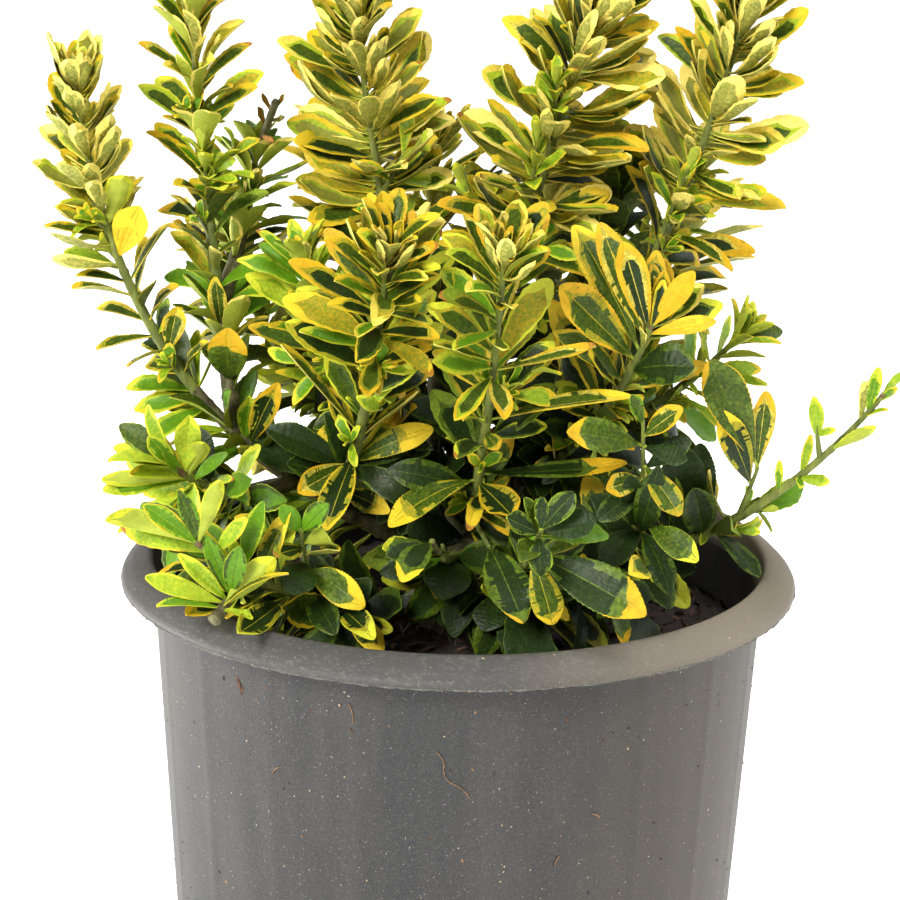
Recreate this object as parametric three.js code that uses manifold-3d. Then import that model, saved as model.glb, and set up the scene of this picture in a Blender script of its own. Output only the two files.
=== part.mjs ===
// Potted variegated spindle: a small evergreen shrub in a round plastic pot.
// Millimetres, +Z up. The origin is the centre of the pot's flat underside.
// -Y is the front of the plant and +X is its right.

import * as THREE from 'three';
import { ConvexGeometry } from 'three/addons/geometries/ConvexGeometry.js';
import { mergeVertices } from 'three/addons/utils/BufferGeometryUtils.js';
import Module from 'manifold-3d';

const wasm = await Module();
wasm.setup();

// Pot
const POT_SEGMENTS = 48;
const POT_HEIGHT = 150;
const POT_BASE_RADIUS = 77;
const POT_NECK_RADIUS = 86;
const POT_WALL = 1.8;
const POT_FLOOR = 3;
const FOOT_CHAMFER = 1.5;
const RIM_RADIUS = 95;
const RIM_DROP = 7.5;
const RIM_CROWN_RADIUS = 89;
const RIM_INNER_RADIUS = 86;
const RIM_LIP_DROP = 1;
const RIM_BEND_STEPS = 3;

// Soil
const SOIL_SEGMENTS = 32;
const SOIL_EDGE_HEIGHT = 125;
const SOIL_CROWN_HEIGHT = 132;
const SOIL_FLAT_RADIUS = 13;
const SOIL_RINGS = 3;
const SOIL_UNEVENNESS = 1.6;
const SOIL_WALL_GAP = 0.6;

// Clearance between neighbouring pieces
const SEAT_GAP = 0.3;

// Corners of a solid closer than this make slivers
const SLIVER = 0.0025;

// Corners of a shape closer than this are one corner
const WELD = 1e-4;

// A path that runs this much along Y takes its sides from X instead
const STEEP_ALONG_Y = 0.8;

// Trunk
const TRUNK_HEIGHT = 19;
const TRUNK_LEAN = new THREE.Vector3(1.5, -1, 0);
const TRUNK_FOOT_RADIUS = 9;
const TRUNK_WAIST_RADIUS = 6;
const TRUNK_TOP_RADIUS = 4.8;
const TRUNK_SIDES = 12;
const TRUNK_STEPS = 5;
const FLARE_POWER = 3;

// Boughs and the stems inside the masses of leaves
const BOUGH_SIDES = 5;
const BOUGH_STEPS = 3;
const BOUGH_FOOT_RADIUS = 2.5;
const STEM_FOOT_RADIUS = 1.6;
const STEM_TIP_RADIUS = 0.7;
const STEM_SIDES = 3;
const STEM_STEPS = 3;
const TWIG_FOOT_RADIUS = 0.9;
const TWIG_TIP_RADIUS = 0.5;

// Leaves
const LEAF_WIDTH_RATIO = 0.34;
const LEAF_FOLD = 1.2;
const LEAF_SINKS = [0, 0.15, 0.3, 0.07, 0.22];
const LEAF_WIDEST = 0.58;
const LEAF_ANGLE_LOW = 76;
const LEAF_ANGLE_TOP = 26;
const LEAF_ANGLE_POWER = 1.6;
const LEAF_TRIES = 4;
const LEAF_TRY_RAISE = 0.2;
const LEAF_TRY_SHRINK = 0.1;
const FOOT_LEAF = 0.85;
const FOOT_LEAF_REACH = 0.3;
const TIP_LEAF_FROM = 0.45;
const NODE_CROWDING = 1.5;
const AZIMUTH_JITTER = 13;
const ANGLE_JITTER = 8;
const ROLL_JITTER = 16;
const LENGTH_JITTER = 0.12;

// Places on a leaf that must keep to its mass's room: share of its length, share of its half width
const LEAF_PROBES = [[0.3, 0], [LEAF_WIDEST, -1], [LEAF_WIDEST, 1], [0.8, -0.5], [0.8, 0.5], [1, 0]];

// Side twigs
const TWIG_LENGTH = 0.55;
const TWIG_ANGLE = 42;
const TWIG_LEAF = 0.55;
const TWIG_NODES = 2;
const TWIG_FIRST = 0.15;
const TWIG_LAST = 0.6;
const TWIG_PROBE = 0.6;

// Room that each mass keeps to itself
const SPACE_MARGIN = 0.6;
const LIMB_MARGIN = 1;
const POT_MARGIN = 1;
const POT_INSIDE_MARGIN = 2;
const AXIS_SAMPLES = 12;

const SEED = 4081;
const SEED_STEP = 101;

const COLOURS = {
  pot: 0x5b5d5e,
  soil: 0x3a2a1e,
  bark: 0x5d6140,
  cream: 0xcdc477,
  gold: 0xb3a032,
  green: 0x5f7a2c,
  lime: 0x8fb02f,
};
const ROUGHNESS = { pot: 0.55, soil: 0.95, bark: 0.85, leaves: 0.5 };

// Each shoot is a bough from its parent's side and a mass of leaves at its end.
// at: how far along the parent it leaves. start: where its leaves begin.
// bow: how far its middle hangs outside the straight line. leaf: length of a full leaf.
// tipLeaf: share of that length at the tip, reached by a taper that begins at tipFrom.
// nodes: pairs of leaves. twigs: side twigs. droop: how far leaves hang (negative: rise).
const SHOOTS = [
  { name: 'far_left', from: 'trunk', at: 0.75, tip: [-105, -12, 284], start: 0.5, bow: 28,
    leaf: 21, tipLeaf: 0.75, nodes: 14, twigs: 1, droop: 0, tone: 'cream' },
  { name: 'tall_left', from: 'far_left', at: 0.4, tip: [-76, 10, 302], start: 0.34, bow: 2,
    leaf: 24, tipLeaf: 0.7, nodes: 13, twigs: 1, droop: 0, tone: 'gold' },
  { name: 'left_side', from: 'tall_left', at: 0.3, tip: [-59, 28, 258], start: 0.5, bow: 4,
    leaf: 20, tipLeaf: 0.6, nodes: 6, twigs: 0, droop: 0, tone: 'green' },
  { name: 'tall_middle_left', from: 'trunk', at: 1, tip: [-31, 18, 297], start: 0.24, bow: 4,
    leaf: 29, tipLeaf: 0.65, nodes: 18, twigs: 1, droop: 0, tone: 'cream' },
  { name: 'behind_left', from: 'tall_middle_left', at: 0.2, tip: [-9, 40, 259], start: 0.36, bow: 5,
    leaf: 23, tipLeaf: 0.6, nodes: 9, twigs: 0, droop: 0, tone: 'cream' },
  { name: 'tall_middle_right', from: 'trunk', at: 0.98, tip: [36, 4, 305], start: 0.24, bow: -5,
    leaf: 29, tipLeaf: 0.65, nodes: 19, twigs: 1, droop: 0, tone: 'cream' },
  { name: 'tall_right', from: 'trunk', at: 0.85, tip: [75, 0, 304], start: 0.34, bow: 9,
    leaf: 28, tipLeaf: 0.65, nodes: 16, twigs: 1, droop: 0, tone: 'cream' },
  { name: 'front_left', from: 'far_left', at: 0.2, tip: [-20, -56, 247], start: 0.24, bow: 6,
    leaf: 30, tipLeaf: 0.65, nodes: 17, twigs: 1, droop: 0.05, tone: 'gold' },
  { name: 'front_middle', from: 'trunk', at: 0.7, tip: [10, -64, 249], start: 0.2, bow: 7,
    leaf: 33, tipLeaf: 0.55, nodes: 15, twigs: 1, droop: 0.1, tone: 'gold' },
  { name: 'right_rosette', from: 'tall_right', at: 0.16, tip: [50, -42, 227], start: 0.26, bow: 6,
    leaf: 34, tipLeaf: 0.6, nodes: 12, twigs: 1, droop: 0, tone: 'gold' },
  { name: 'right_branch', from: 'trunk', at: 0.45, tip: [114, -30, 206], start: 0.48, bow: 16,
    leaf: 25, tipLeaf: 0.36, tipFrom: 0.05, nodes: 8, twigs: 0, droop: -0.8, tone: 'lime' },
  { name: 'right_small', from: 'tall_right', at: 0.22, tip: [77, 0, 214], start: 0.36, bow: 5,
    leaf: 22, tipLeaf: 0.6, nodes: 7, twigs: 0, droop: 0, tone: 'lime' },
  { name: 'low_left_front', from: 'trunk', at: 0.3, tip: [-69, -72, 174], start: 0.56, bow: 10,
    leaf: 31, tipLeaf: 0.75, nodes: 11, twigs: 1, droop: -0.1, tone: 'lime' },
  { name: 'low_left', from: 'far_left', at: 0.28, tip: [-78, -38, 185], start: 0.28, bow: 6,
    leaf: 27, tipLeaf: 0.7, nodes: 10, twigs: 1, droop: 0, tone: 'lime' },
  { name: 'low_front_left', from: 'low_left_front', at: 0.36, tip: [-34, -74, 162], start: 0.36, bow: 4,
    leaf: 27, tipLeaf: 0.55, nodes: 9, twigs: 0, droop: 0.2, tone: 'green' },
  { name: 'low_middle', from: 'front_middle', at: 0.12, tip: [-9, -62, 178], start: 0.24, bow: 8,
    leaf: 31, tipLeaf: 0.6, nodes: 10, twigs: 0, droop: 0.4, tone: 'green' },
  { name: 'low_front', from: 'trunk', at: 0.5, tip: [21, -70, 178], start: 0.32, bow: 10,
    leaf: 36, tipLeaf: 0.42, nodes: 11, twigs: 0, droop: 0.5, tone: 'green' },
  { name: 'low_front_right', from: 'low_front', at: 0.18, tip: [52, -58, 167], start: 0.36, bow: 6,
    leaf: 30, tipLeaf: 0.6, nodes: 8, twigs: 0, droop: 0.3, tone: 'green' },
  { name: 'right_front', from: 'right_branch', at: 0.3, tip: [56, -56, 195], start: 0.3, bow: 5,
    leaf: 29, tipLeaf: 0.5, nodes: 9, twigs: 0, droop: 0.3, tone: 'green' },
  { name: 'left_middle', from: 'tall_middle_left', at: 0.15, tip: [-43, -20, 235], start: 0.26, bow: 8,
    leaf: 27, tipLeaf: 0.6, nodes: 11, twigs: 1, droop: 0, tone: 'lime' },
  { name: 'behind_right', from: 'tall_right', at: 0.26, tip: [44, 34, 249], start: 0.34, bow: 4,
    leaf: 27, tipLeaf: 0.6, nodes: 9, twigs: 0, droop: 0, tone: 'green' },
  { name: 'behind_middle', from: 'tall_middle_right', at: 0.2, tip: [5, 28, 243], start: 0.34, bow: 3,
    leaf: 25, tipLeaf: 0.6, nodes: 9, twigs: 0, droop: 0, tone: 'green' },
  { name: 'back_middle_left', from: 'trunk', at: 0.6, tip: [-34, 66, 258], start: 0.34, bow: 16,
    leaf: 29, tipLeaf: 0.6, nodes: 12, twigs: 1, droop: 0, tone: 'gold' },
  { name: 'back_left', from: 'back_middle_left', at: 0.26, tip: [-70, 46, 230], start: 0.3, bow: 10,
    leaf: 28, tipLeaf: 0.6, nodes: 10, twigs: 0, droop: 0, tone: 'gold' },
  { name: 'back_right', from: 'trunk', at: 0.55, tip: [66, 50, 252], start: 0.34, bow: 16,
    leaf: 29, tipLeaf: 0.6, nodes: 12, twigs: 1, droop: 0, tone: 'gold' },
  { name: 'back_middle_right', from: 'back_right', at: 0.26, tip: [24, 68, 246], start: 0.3, bow: 10,
    leaf: 29, tipLeaf: 0.6, nodes: 11, twigs: 0, droop: 0, tone: 'gold' },
  { name: 'back_low_left', from: 'back_middle_left', at: 0.18, tip: [-46, 70, 184], start: 0.36, bow: 8,
    leaf: 31, tipLeaf: 0.6, nodes: 9, twigs: 0, droop: 0.2, tone: 'lime' },
  { name: 'back_low_right', from: 'back_right', at: 0.18, tip: [46, 72, 186], start: 0.36, bow: 8,
    leaf: 31, tipLeaf: 0.6, nodes: 9, twigs: 0, droop: 0.2, tone: 'green' },
];

const UP = new THREE.Vector3(0, 0, 1);

function mix(a, b, t) {
  return a + (b - a) * t;
}

function smoothStep(t) {
  const k = Math.min(1, Math.max(0, t));
  return k * k * (3 - 2 * k);
}

// A repeatable stream of numbers from 0 to 1
function seededRandom(seed) {
  let state = seed >>> 0;
  return function next() {
    state = (state + 0x6d2b79f5) >>> 0;
    let t = state;
    t = Math.imul(t ^ (t >>> 15), t | 1);
    t ^= t + Math.imul(t ^ (t >>> 7), t | 61);
    return ((t ^ (t >>> 14)) >>> 0) / 4294967296;
  };
}

function spread(random, size) {
  return (random() * 2 - 1) * size;
}

// Solids and meshes

function closedGeometry(geometry) {
  const bare = geometry.clone();
  bare.deleteAttribute('normal');
  bare.deleteAttribute('uv');
  return mergeVertices(bare, WELD);
}

function solidFrom(geometry) {
  const closed = closedGeometry(geometry);
  const mesh = new wasm.Mesh({
    numProp: 3,
    vertProperties: new Float32Array(closed.attributes.position.array),
    triVerts: new Uint32Array(closed.index.array),
  });
  return new wasm.Manifold(mesh);
}

function geometryFrom(solid) {
  const mesh = solid.getMesh();
  const geometry = new THREE.BufferGeometry();
  geometry.setAttribute('position', new THREE.BufferAttribute(new Float32Array(mesh.vertProperties), 3));
  geometry.setIndex(new THREE.BufferAttribute(new Uint32Array(mesh.triVerts), 1));
  geometry.computeVertexNormals();
  return geometry;
}

function namedMesh(name, geometry, colour, roughness) {
  const look = { color: colour, roughness, metalness: 0, flatShading: true };
  const material = new THREE.MeshStandardMaterial(look);
  const mesh = new THREE.Mesh(geometry, material);
  mesh.name = name;
  return mesh;
}

// The largest body of a solid: what a cut leaves loose is dropped
function largestBody(solid) {
  let best = solid;
  let bestVolume = -1;
  for (const body of solid.decompose()) {
    if (body.volume() > bestVolume) {
      best = body;
      bestVolume = body.volume();
    }
  }
  return best;
}

// Pot: a tapering wall, a flat floor and a rolled rim with a sharp lower edge

function potMesh() {
  const rimLow = POT_HEIGHT - RIM_DROP;
  const profile = [
    new THREE.Vector2(0, 0),
    new THREE.Vector2(POT_BASE_RADIUS - FOOT_CHAMFER, 0),
    new THREE.Vector2(POT_BASE_RADIUS, FOOT_CHAMFER),
    new THREE.Vector2(POT_NECK_RADIUS, rimLow),
    new THREE.Vector2(RIM_RADIUS, rimLow),
  ];
  for (let i = 1; i <= RIM_BEND_STEPS; i += 1) {
    const angle = (Math.PI / 2) * (i / RIM_BEND_STEPS);
    profile.push(new THREE.Vector2(
      RIM_CROWN_RADIUS + (RIM_RADIUS - RIM_CROWN_RADIUS) * Math.cos(angle),
      rimLow + RIM_DROP * Math.sin(angle),
    ));
  }
  profile.push(new THREE.Vector2(RIM_INNER_RADIUS, POT_HEIGHT - RIM_LIP_DROP));
  profile.push(new THREE.Vector2(POT_NECK_RADIUS - POT_WALL, rimLow - POT_WALL));
  profile.push(new THREE.Vector2(POT_BASE_RADIUS - POT_WALL, POT_FLOOR));
  profile.push(new THREE.Vector2(0, POT_FLOOR));
  const geometry = new THREE.LatheGeometry(profile, POT_SEGMENTS);
  geometry.rotateX(Math.PI / 2);
  return namedMesh('pot', closedGeometry(geometry), COLOURS.pot, ROUGHNESS.pot);
}

// Inside radius of the pot at a height
function potInside(z) {
  const t = (z - POT_FLOOR) / (POT_HEIGHT - RIM_DROP - POT_WALL - POT_FLOOR);
  return mix(POT_BASE_RADIUS, POT_NECK_RADIUS, t) - POT_WALL;
}

// Soil: fills the pot, highest and flat round the trunk

function soilHeight(radius) {
  const edge = potInside(SOIL_EDGE_HEIGHT) - SOIL_WALL_GAP;
  const t = smoothStep((radius - SOIL_FLAT_RADIUS) / (edge - SOIL_FLAT_RADIUS));
  return mix(SOIL_CROWN_HEIGHT, SOIL_EDGE_HEIGHT, t);
}

function soilMesh() {
  const floor = POT_FLOOR + SEAT_GAP;
  const edge = potInside(SOIL_EDGE_HEIGHT) - SOIL_WALL_GAP;
  const profile = [
    new THREE.Vector2(0, floor),
    new THREE.Vector2(potInside(floor) - SOIL_WALL_GAP, floor),
    new THREE.Vector2(edge, SOIL_EDGE_HEIGHT),
  ];
  for (let i = 1; i <= SOIL_RINGS; i += 1) {
    const radius = mix(edge, SOIL_FLAT_RADIUS, i / SOIL_RINGS);
    profile.push(new THREE.Vector2(radius, soilHeight(radius)));
  }
  profile.push(new THREE.Vector2(0, SOIL_CROWN_HEIGHT));
  const geometry = new THREE.LatheGeometry(profile, SOIL_SEGMENTS);
  geometry.rotateX(Math.PI / 2);
  const closed = closedGeometry(geometry);
  const random = seededRandom(SEED);
  const position = closed.attributes.position;
  for (let i = 0; i < position.count; i += 1) {
    const radius = Math.hypot(position.getX(i), position.getY(i));
    const z = position.getZ(i);
    const onTop = z > SOIL_EDGE_HEIGHT + SEAT_GAP && radius > SOIL_FLAT_RADIUS + SEAT_GAP;
    if (onTop) {
      position.setZ(i, z + spread(random, SOIL_UNEVENNESS));
    }
  }
  return namedMesh('soil', closed, COLOURS.soil, ROUGHNESS.soil);
}

// Limbs: a many-sided cylinder bent along a curve

function frameAt(curve, t) {
  const tangent = curve.getTangent(t).normalize();
  const alongX = Math.abs(tangent.y) > STEEP_ALONG_Y;
  const reference = new THREE.Vector3(alongX ? 1 : 0, alongX ? 0 : 1, 0);
  const side = reference.clone().addScaledVector(tangent, -reference.dot(tangent)).normalize();
  const across = new THREE.Vector3().crossVectors(side, tangent);
  return { tangent, side, across };
}

// grow widens the limb and moves its ends out, for the room that others leave to it
function limbSolid(curve, radiusAt, sides, steps, grow) {
  const geometry = closedGeometry(new THREE.CylinderGeometry(1, 1, 1, sides, steps));
  const position = geometry.attributes.position;
  for (let i = 0; i < position.count; i += 1) {
    const t = Math.min(1, Math.max(0, position.getY(i) + 0.5));
    const { tangent, side, across } = frameAt(curve, t);
    const radius = radiusAt(t) + grow;
    const point = curve.getPoint(t);
    point.addScaledVector(side, position.getX(i) * radius);
    point.addScaledVector(across, position.getZ(i) * radius);
    if (t === 0) {
      point.addScaledVector(tangent, -grow);
    }
    if (t === 1) {
      point.addScaledVector(tangent, grow);
    }
    position.setXYZ(i, point.x, point.y, point.z);
  }
  return solidFrom(geometry);
}

// Part of a curve, from one share of its length to another
class CurvePart extends THREE.Curve {
  constructor(curve, from, to) {
    super();
    this.curve = curve;
    this.from = from;
    this.to = to;
  }

  getPoint(t, target = new THREE.Vector3()) {
    return this.curve.getPoint(mix(this.from, this.to, t), target);
  }
}

function trunkCurve() {
  const foot = new THREE.Vector3(0, 0, SOIL_CROWN_HEIGHT + SEAT_GAP);
  const top = foot.clone().addScaledVector(UP, TRUNK_HEIGHT).add(TRUNK_LEAN);
  const knee = foot.clone().addScaledVector(UP, TRUNK_HEIGHT / 2);
  return new THREE.QuadraticBezierCurve3(foot, knee, top);
}

function trunkRadius(t) {
  const flare = (TRUNK_FOOT_RADIUS - TRUNK_WAIST_RADIUS) * (1 - t) ** FLARE_POWER;
  return mix(TRUNK_WAIST_RADIUS, TRUNK_TOP_RADIUS, t) + flare;
}

// The path of a shoot: its middle is pushed outwards and down by its bow
function shootCurve(foot, tip, bow) {
  const chord = tip.clone().sub(foot).normalize();
  const outward = new THREE.Vector3(tip.x - foot.x, tip.y - foot.y, 0).normalize();
  const sideways = outward.addScaledVector(chord, -outward.dot(chord)).normalize();
  const middle = foot.clone().add(tip).multiplyScalar(0.5).addScaledVector(sideways, 2 * bow);
  return new THREE.QuadraticBezierCurve3(foot, middle, tip);
}

// Every path, with the share of it that is bough and the share that bears leaves
function layOutShoots() {
  const trunk = trunkCurve();
  const curves = new Map([['trunk', trunk]]);
  return SHOOTS.map((shoot) => {
    const foot = curves.get(shoot.from).getPoint(shoot.at);
    const curve = shootCurve(foot, new THREE.Vector3(...shoot.tip), shoot.bow);
    curves.set(shoot.name, curve);
    const gapShare = SEAT_GAP / curve.getLength();
    return {
      ...shoot,
      bough: new CurvePart(curve, 0, shoot.start),
      stem: new CurvePart(curve, shoot.start + gapShare, 1),
    };
  });
}

function boughRadius(t) {
  return mix(BOUGH_FOOT_RADIUS, STEM_FOOT_RADIUS, t);
}

function stemRadius(t) {
  return mix(STEM_FOOT_RADIUS, STEM_TIP_RADIUS, t);
}

function twigRadius(t) {
  return mix(TWIG_FOOT_RADIUS, TWIG_TIP_RADIUS, t);
}

// The room of each mass

function distanceToPath(point, path) {
  let best = Infinity;
  const along = new THREE.Vector3();
  const toPoint = new THREE.Vector3();
  for (let i = 1; i < path.length; i += 1) {
    along.subVectors(path[i], path[i - 1]);
    toPoint.subVectors(point, path[i - 1]);
    const share = Math.min(1, Math.max(0, toPoint.dot(along) / along.lengthSq()));
    best = Math.min(best, toPoint.addScaledVector(along, -share).length());
  }
  return best;
}

function clearOfPot(point) {
  const radius = Math.hypot(point.x, point.y);
  if (radius < potInside(SOIL_EDGE_HEIGHT) - POT_INSIDE_MARGIN) {
    return point.z > soilHeight(radius) + SOIL_UNEVENNESS + POT_MARGIN;
  }
  if (radius < RIM_RADIUS + POT_MARGIN) {
    return point.z > POT_HEIGHT + POT_MARGIN;
  }
  return true;
}

// True where a point is nearest to its own mass and touches no limb, pot or soil
function inOwnRoom(point, own, rooms, limbs) {
  if (!clearOfPot(point)) {
    return false;
  }
  const ownDistance = distanceToPath(point, rooms[own]);
  for (let i = 0; i < rooms.length; i += 1) {
    if (i !== own && distanceToPath(point, rooms[i]) < ownDistance + SPACE_MARGIN) {
      return false;
    }
  }
  return limbs.every((limb) => distanceToPath(point, limb.path) > limb.radius + LIMB_MARGIN);
}

// Leaves: a thin blade with its edges raised above the keel of its midrib, widest past its middle

function leafPoint(leaf, share, sideways, lift) {
  const across = new THREE.Vector3().crossVectors(leaf.normal, leaf.direction);
  return leaf.root.clone()
    .addScaledVector(leaf.direction, leaf.length * share)
    .addScaledVector(across, sideways * leaf.length * LEAF_WIDTH_RATIO / 2)
    .addScaledVector(leaf.normal, lift);
}

// sink moves the root back, deeper into its stem
function leafSolid(leaf, sink) {
  const corners = [
    leafPoint(leaf, -sink / leaf.length, 0, 0),
    leafPoint(leaf, 1, 0, 0),
    leafPoint(leaf, LEAF_WIDEST, -1, LEAF_FOLD),
    leafPoint(leaf, LEAF_WIDEST, 1, LEAF_FOLD),
  ];
  return solidFrom(new ConvexGeometry(corners));
}

// A leaf at one side of a stem, raised and shortened until it keeps to the room
function fitLeaf(curve, t, azimuth, angle, roll, length, droop, isClear) {
  const { tangent, side, across } = frameAt(curve, t);
  const outward = side.clone().multiplyScalar(Math.cos(azimuth)).addScaledVector(across, Math.sin(azimuth));
  for (let attempt = 0; attempt < LEAF_TRIES; attempt += 1) {
    const tilt = THREE.MathUtils.degToRad(angle * (1 - LEAF_TRY_RAISE * attempt));
    const direction = tangent.clone().multiplyScalar(Math.cos(tilt)).addScaledVector(outward, Math.sin(tilt));
    direction.addScaledVector(UP, -droop * Math.sin(tilt)).normalize();
    const normal = tangent.clone().addScaledVector(direction, -tangent.dot(direction)).normalize();
    normal.applyAxisAngle(direction, THREE.MathUtils.degToRad(roll));
    const leaf = {
      root: curve.getPoint(t),
      direction,
      normal,
      length: length * (1 - LEAF_TRY_SHRINK * attempt),
    };
    if (LEAF_PROBES.every(([share, sideways]) => isClear(leafPoint(leaf, share, sideways, 0)))) {
      return leaf;
    }
  }
  return null;
}

// Leaf length along a shoot: a little shorter at its foot, tipLeaf of the whole at its tip
function leafProfile(u, habit) {
  const tipFrom = habit.tipFrom ?? TIP_LEAF_FROM;
  const lower = mix(FOOT_LEAF, 1, smoothStep(u / FOOT_LEAF_REACH));
  return lower * mix(1, habit.tipLeaf, smoothStep((u - tipFrom) / (1 - tipFrom)));
}

// Crossed pairs of leaves along a stem, closer together towards its tip
function growPairs(curve, nodes, habit, random, isClear) {
  const leaves = [];
  const phase = random() * Math.PI;
  for (let i = 0; i < nodes; i += 1) {
    const u = (i + 0.5) / nodes;
    const t = 1 - (1 - u) ** NODE_CROWDING;
    const angle = mix(LEAF_ANGLE_LOW, LEAF_ANGLE_TOP, u ** LEAF_ANGLE_POWER);
    for (let pair = 0; pair < 2; pair += 1) {
      const turn = phase + (i * Math.PI) / 2 + pair * Math.PI;
      const azimuth = turn + THREE.MathUtils.degToRad(spread(random, AZIMUTH_JITTER));
      const leafAngle = angle + spread(random, ANGLE_JITTER);
      const share = leafProfile(u, habit) * (1 + spread(random, LENGTH_JITTER));
      const roll = spread(random, ROLL_JITTER);
      const leaf = fitLeaf(curve, t, azimuth, leafAngle, roll, habit.leaf * share, habit.droop, isClear);
      if (leaf) {
        leaves.push(leaf);
      }
    }
  }
  return leaves;
}

// A short side twig with two pairs of small leaves
function growTwig(shoot, random, isClear) {
  const t = mix(TWIG_FIRST, TWIG_LAST, random());
  const azimuth = random() * Math.PI * 2;
  const length = shoot.leaf * TWIG_LENGTH;
  const { tangent, side, across } = frameAt(shoot.stem, t);
  const outward = side.clone().multiplyScalar(Math.cos(azimuth)).addScaledVector(across, Math.sin(azimuth));
  const tilt = THREE.MathUtils.degToRad(TWIG_ANGLE);
  const direction = tangent.clone().multiplyScalar(Math.cos(tilt)).addScaledVector(outward, Math.sin(tilt));
  const foot = shoot.stem.getPoint(t);
  const tip = foot.clone().addScaledVector(direction, length);
  if (!isClear(tip) || !isClear(foot.clone().lerp(tip, TWIG_PROBE))) {
    return null;
  }
  const curve = new THREE.LineCurve3(foot, tip);
  const habit = { ...shoot, leaf: shoot.leaf * TWIG_LEAF };
  return { curve, leaves: growPairs(curve, TWIG_NODES, habit, random, isClear) };
}

// Shortest distance between two corners of a solid
function closestCorners(solid) {
  const { vertProperties } = solid.getMesh();
  let best = Infinity;
  for (let i = 0; i < vertProperties.length; i += 3) {
    for (let j = i + 3; j < vertProperties.length; j += 3) {
      const dx = vertProperties[i] - vertProperties[j];
      const dy = vertProperties[i + 1] - vertProperties[j + 1];
      const dz = vertProperties[i + 2] - vertProperties[j + 2];
      best = Math.min(best, dx * dx + dy * dy + dz * dz);
    }
  }
  return Math.sqrt(best);
}

// The mass with one more piece, by the first of its versions that leaves no sliver
function joinCleanly(mass, versions) {
  for (const makePiece of versions) {
    const joined = mass.add(makePiece());
    if (closestCorners(joined) > SLIVER) {
      return joined;
    }
  }
  return mass;
}

// One stem, its side twigs and its leaves, fused
function massSolid(shoot, index, rooms, limbs) {
  const random = seededRandom(SEED + SEED_STEP * (index + 1));
  const isClear = (point) => inOwnRoom(point, index, rooms, limbs);
  const leaves = growPairs(shoot.stem, shoot.nodes, shoot, random, isClear);
  let mass = limbSolid(shoot.stem, stemRadius, STEM_SIDES, STEM_STEPS, 0);
  for (let i = 0; i < shoot.twigs; i += 1) {
    const twig = growTwig(shoot, random, isClear);
    if (twig) {
      mass = joinCleanly(mass, [() => limbSolid(twig.curve, twigRadius, STEM_SIDES, 1, 0)]);
      leaves.push(...twig.leaves);
    }
  }
  for (const leaf of leaves) {
    mass = joinCleanly(mass, LEAF_SINKS.map((sink) => () => leafSolid(leaf, sink)));
  }
  return largestBody(mass);
}

// The whole plant

function buildPlant() {
  const group = new THREE.Group();
  group.add(potMesh());
  group.add(soilMesh());

  const trunk = trunkCurve();
  const trunkSolid = limbSolid(trunk, trunkRadius, TRUNK_SIDES, TRUNK_STEPS, 0);
  group.add(namedMesh('trunk', geometryFrom(trunkSolid), COLOURS.bark, ROUGHNESS.bark));

  const shoots = layOutShoots();
  const taken = [limbSolid(trunk, trunkRadius, TRUNK_SIDES, TRUNK_STEPS, SEAT_GAP)];
  for (const shoot of shoots) {
    const whole = limbSolid(shoot.bough, boughRadius, BOUGH_SIDES, BOUGH_STEPS, 0);
    const cut = largestBody(whole.subtract(wasm.Manifold.union(taken)));
    taken.push(limbSolid(shoot.bough, boughRadius, BOUGH_SIDES, BOUGH_STEPS, SEAT_GAP));
    group.add(namedMesh(`bough_${shoot.name}`, geometryFrom(cut), COLOURS.bark, ROUGHNESS.bark));
  }

  const rooms = shoots.map((shoot) => shoot.stem.getPoints(AXIS_SAMPLES));
  const limbs = shoots.map((shoot) => (
    { path: shoot.bough.getPoints(AXIS_SAMPLES), radius: BOUGH_FOOT_RADIUS }));
  limbs.push({ path: trunk.getPoints(AXIS_SAMPLES), radius: TRUNK_FOOT_RADIUS });
  shoots.forEach((shoot, index) => {
    const geometry = geometryFrom(massSolid(shoot, index, rooms, limbs));
    group.add(namedMesh(`leaves_${shoot.name}`, geometry, COLOURS[shoot.tone], ROUGHNESS.leaves));
  });
  return group;
}

const group = buildPlant();

export default group;
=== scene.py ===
"""Potted variegated spindle: the looks of the plant, its pot and its soil.

The limbs, the stems and the leaves grow by the same seeded rule as the solids, in millimetres,
and are carried on to more leaves, tufts, tip buds and twigs. Meshes are made in metres.
"""
import math

import bpy
import numpy as np
from mathutils import Matrix, Vector


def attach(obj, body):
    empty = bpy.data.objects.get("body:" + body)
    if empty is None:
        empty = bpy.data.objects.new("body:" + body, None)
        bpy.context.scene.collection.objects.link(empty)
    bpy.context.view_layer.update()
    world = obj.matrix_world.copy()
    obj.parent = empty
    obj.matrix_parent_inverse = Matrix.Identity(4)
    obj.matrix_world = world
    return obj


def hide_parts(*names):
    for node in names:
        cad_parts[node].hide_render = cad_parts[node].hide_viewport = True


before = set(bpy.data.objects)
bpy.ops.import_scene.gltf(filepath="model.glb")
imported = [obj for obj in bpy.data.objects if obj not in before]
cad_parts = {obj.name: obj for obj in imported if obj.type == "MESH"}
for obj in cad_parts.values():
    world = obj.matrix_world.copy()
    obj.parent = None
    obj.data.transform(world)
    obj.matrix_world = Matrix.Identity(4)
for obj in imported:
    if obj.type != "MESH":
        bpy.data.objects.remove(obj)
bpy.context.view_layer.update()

# Camera: place, height of view, roll and lens of the photograph, in metres and degrees
CAMERA_EYE = (-0.00298, -0.94154, 0.45591)
CAMERA_DOWN = 16.383
CAMERA_ROLL = 1.066
CAMERA_LENS = 140
CAMERA_SENSOR = 36


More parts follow.
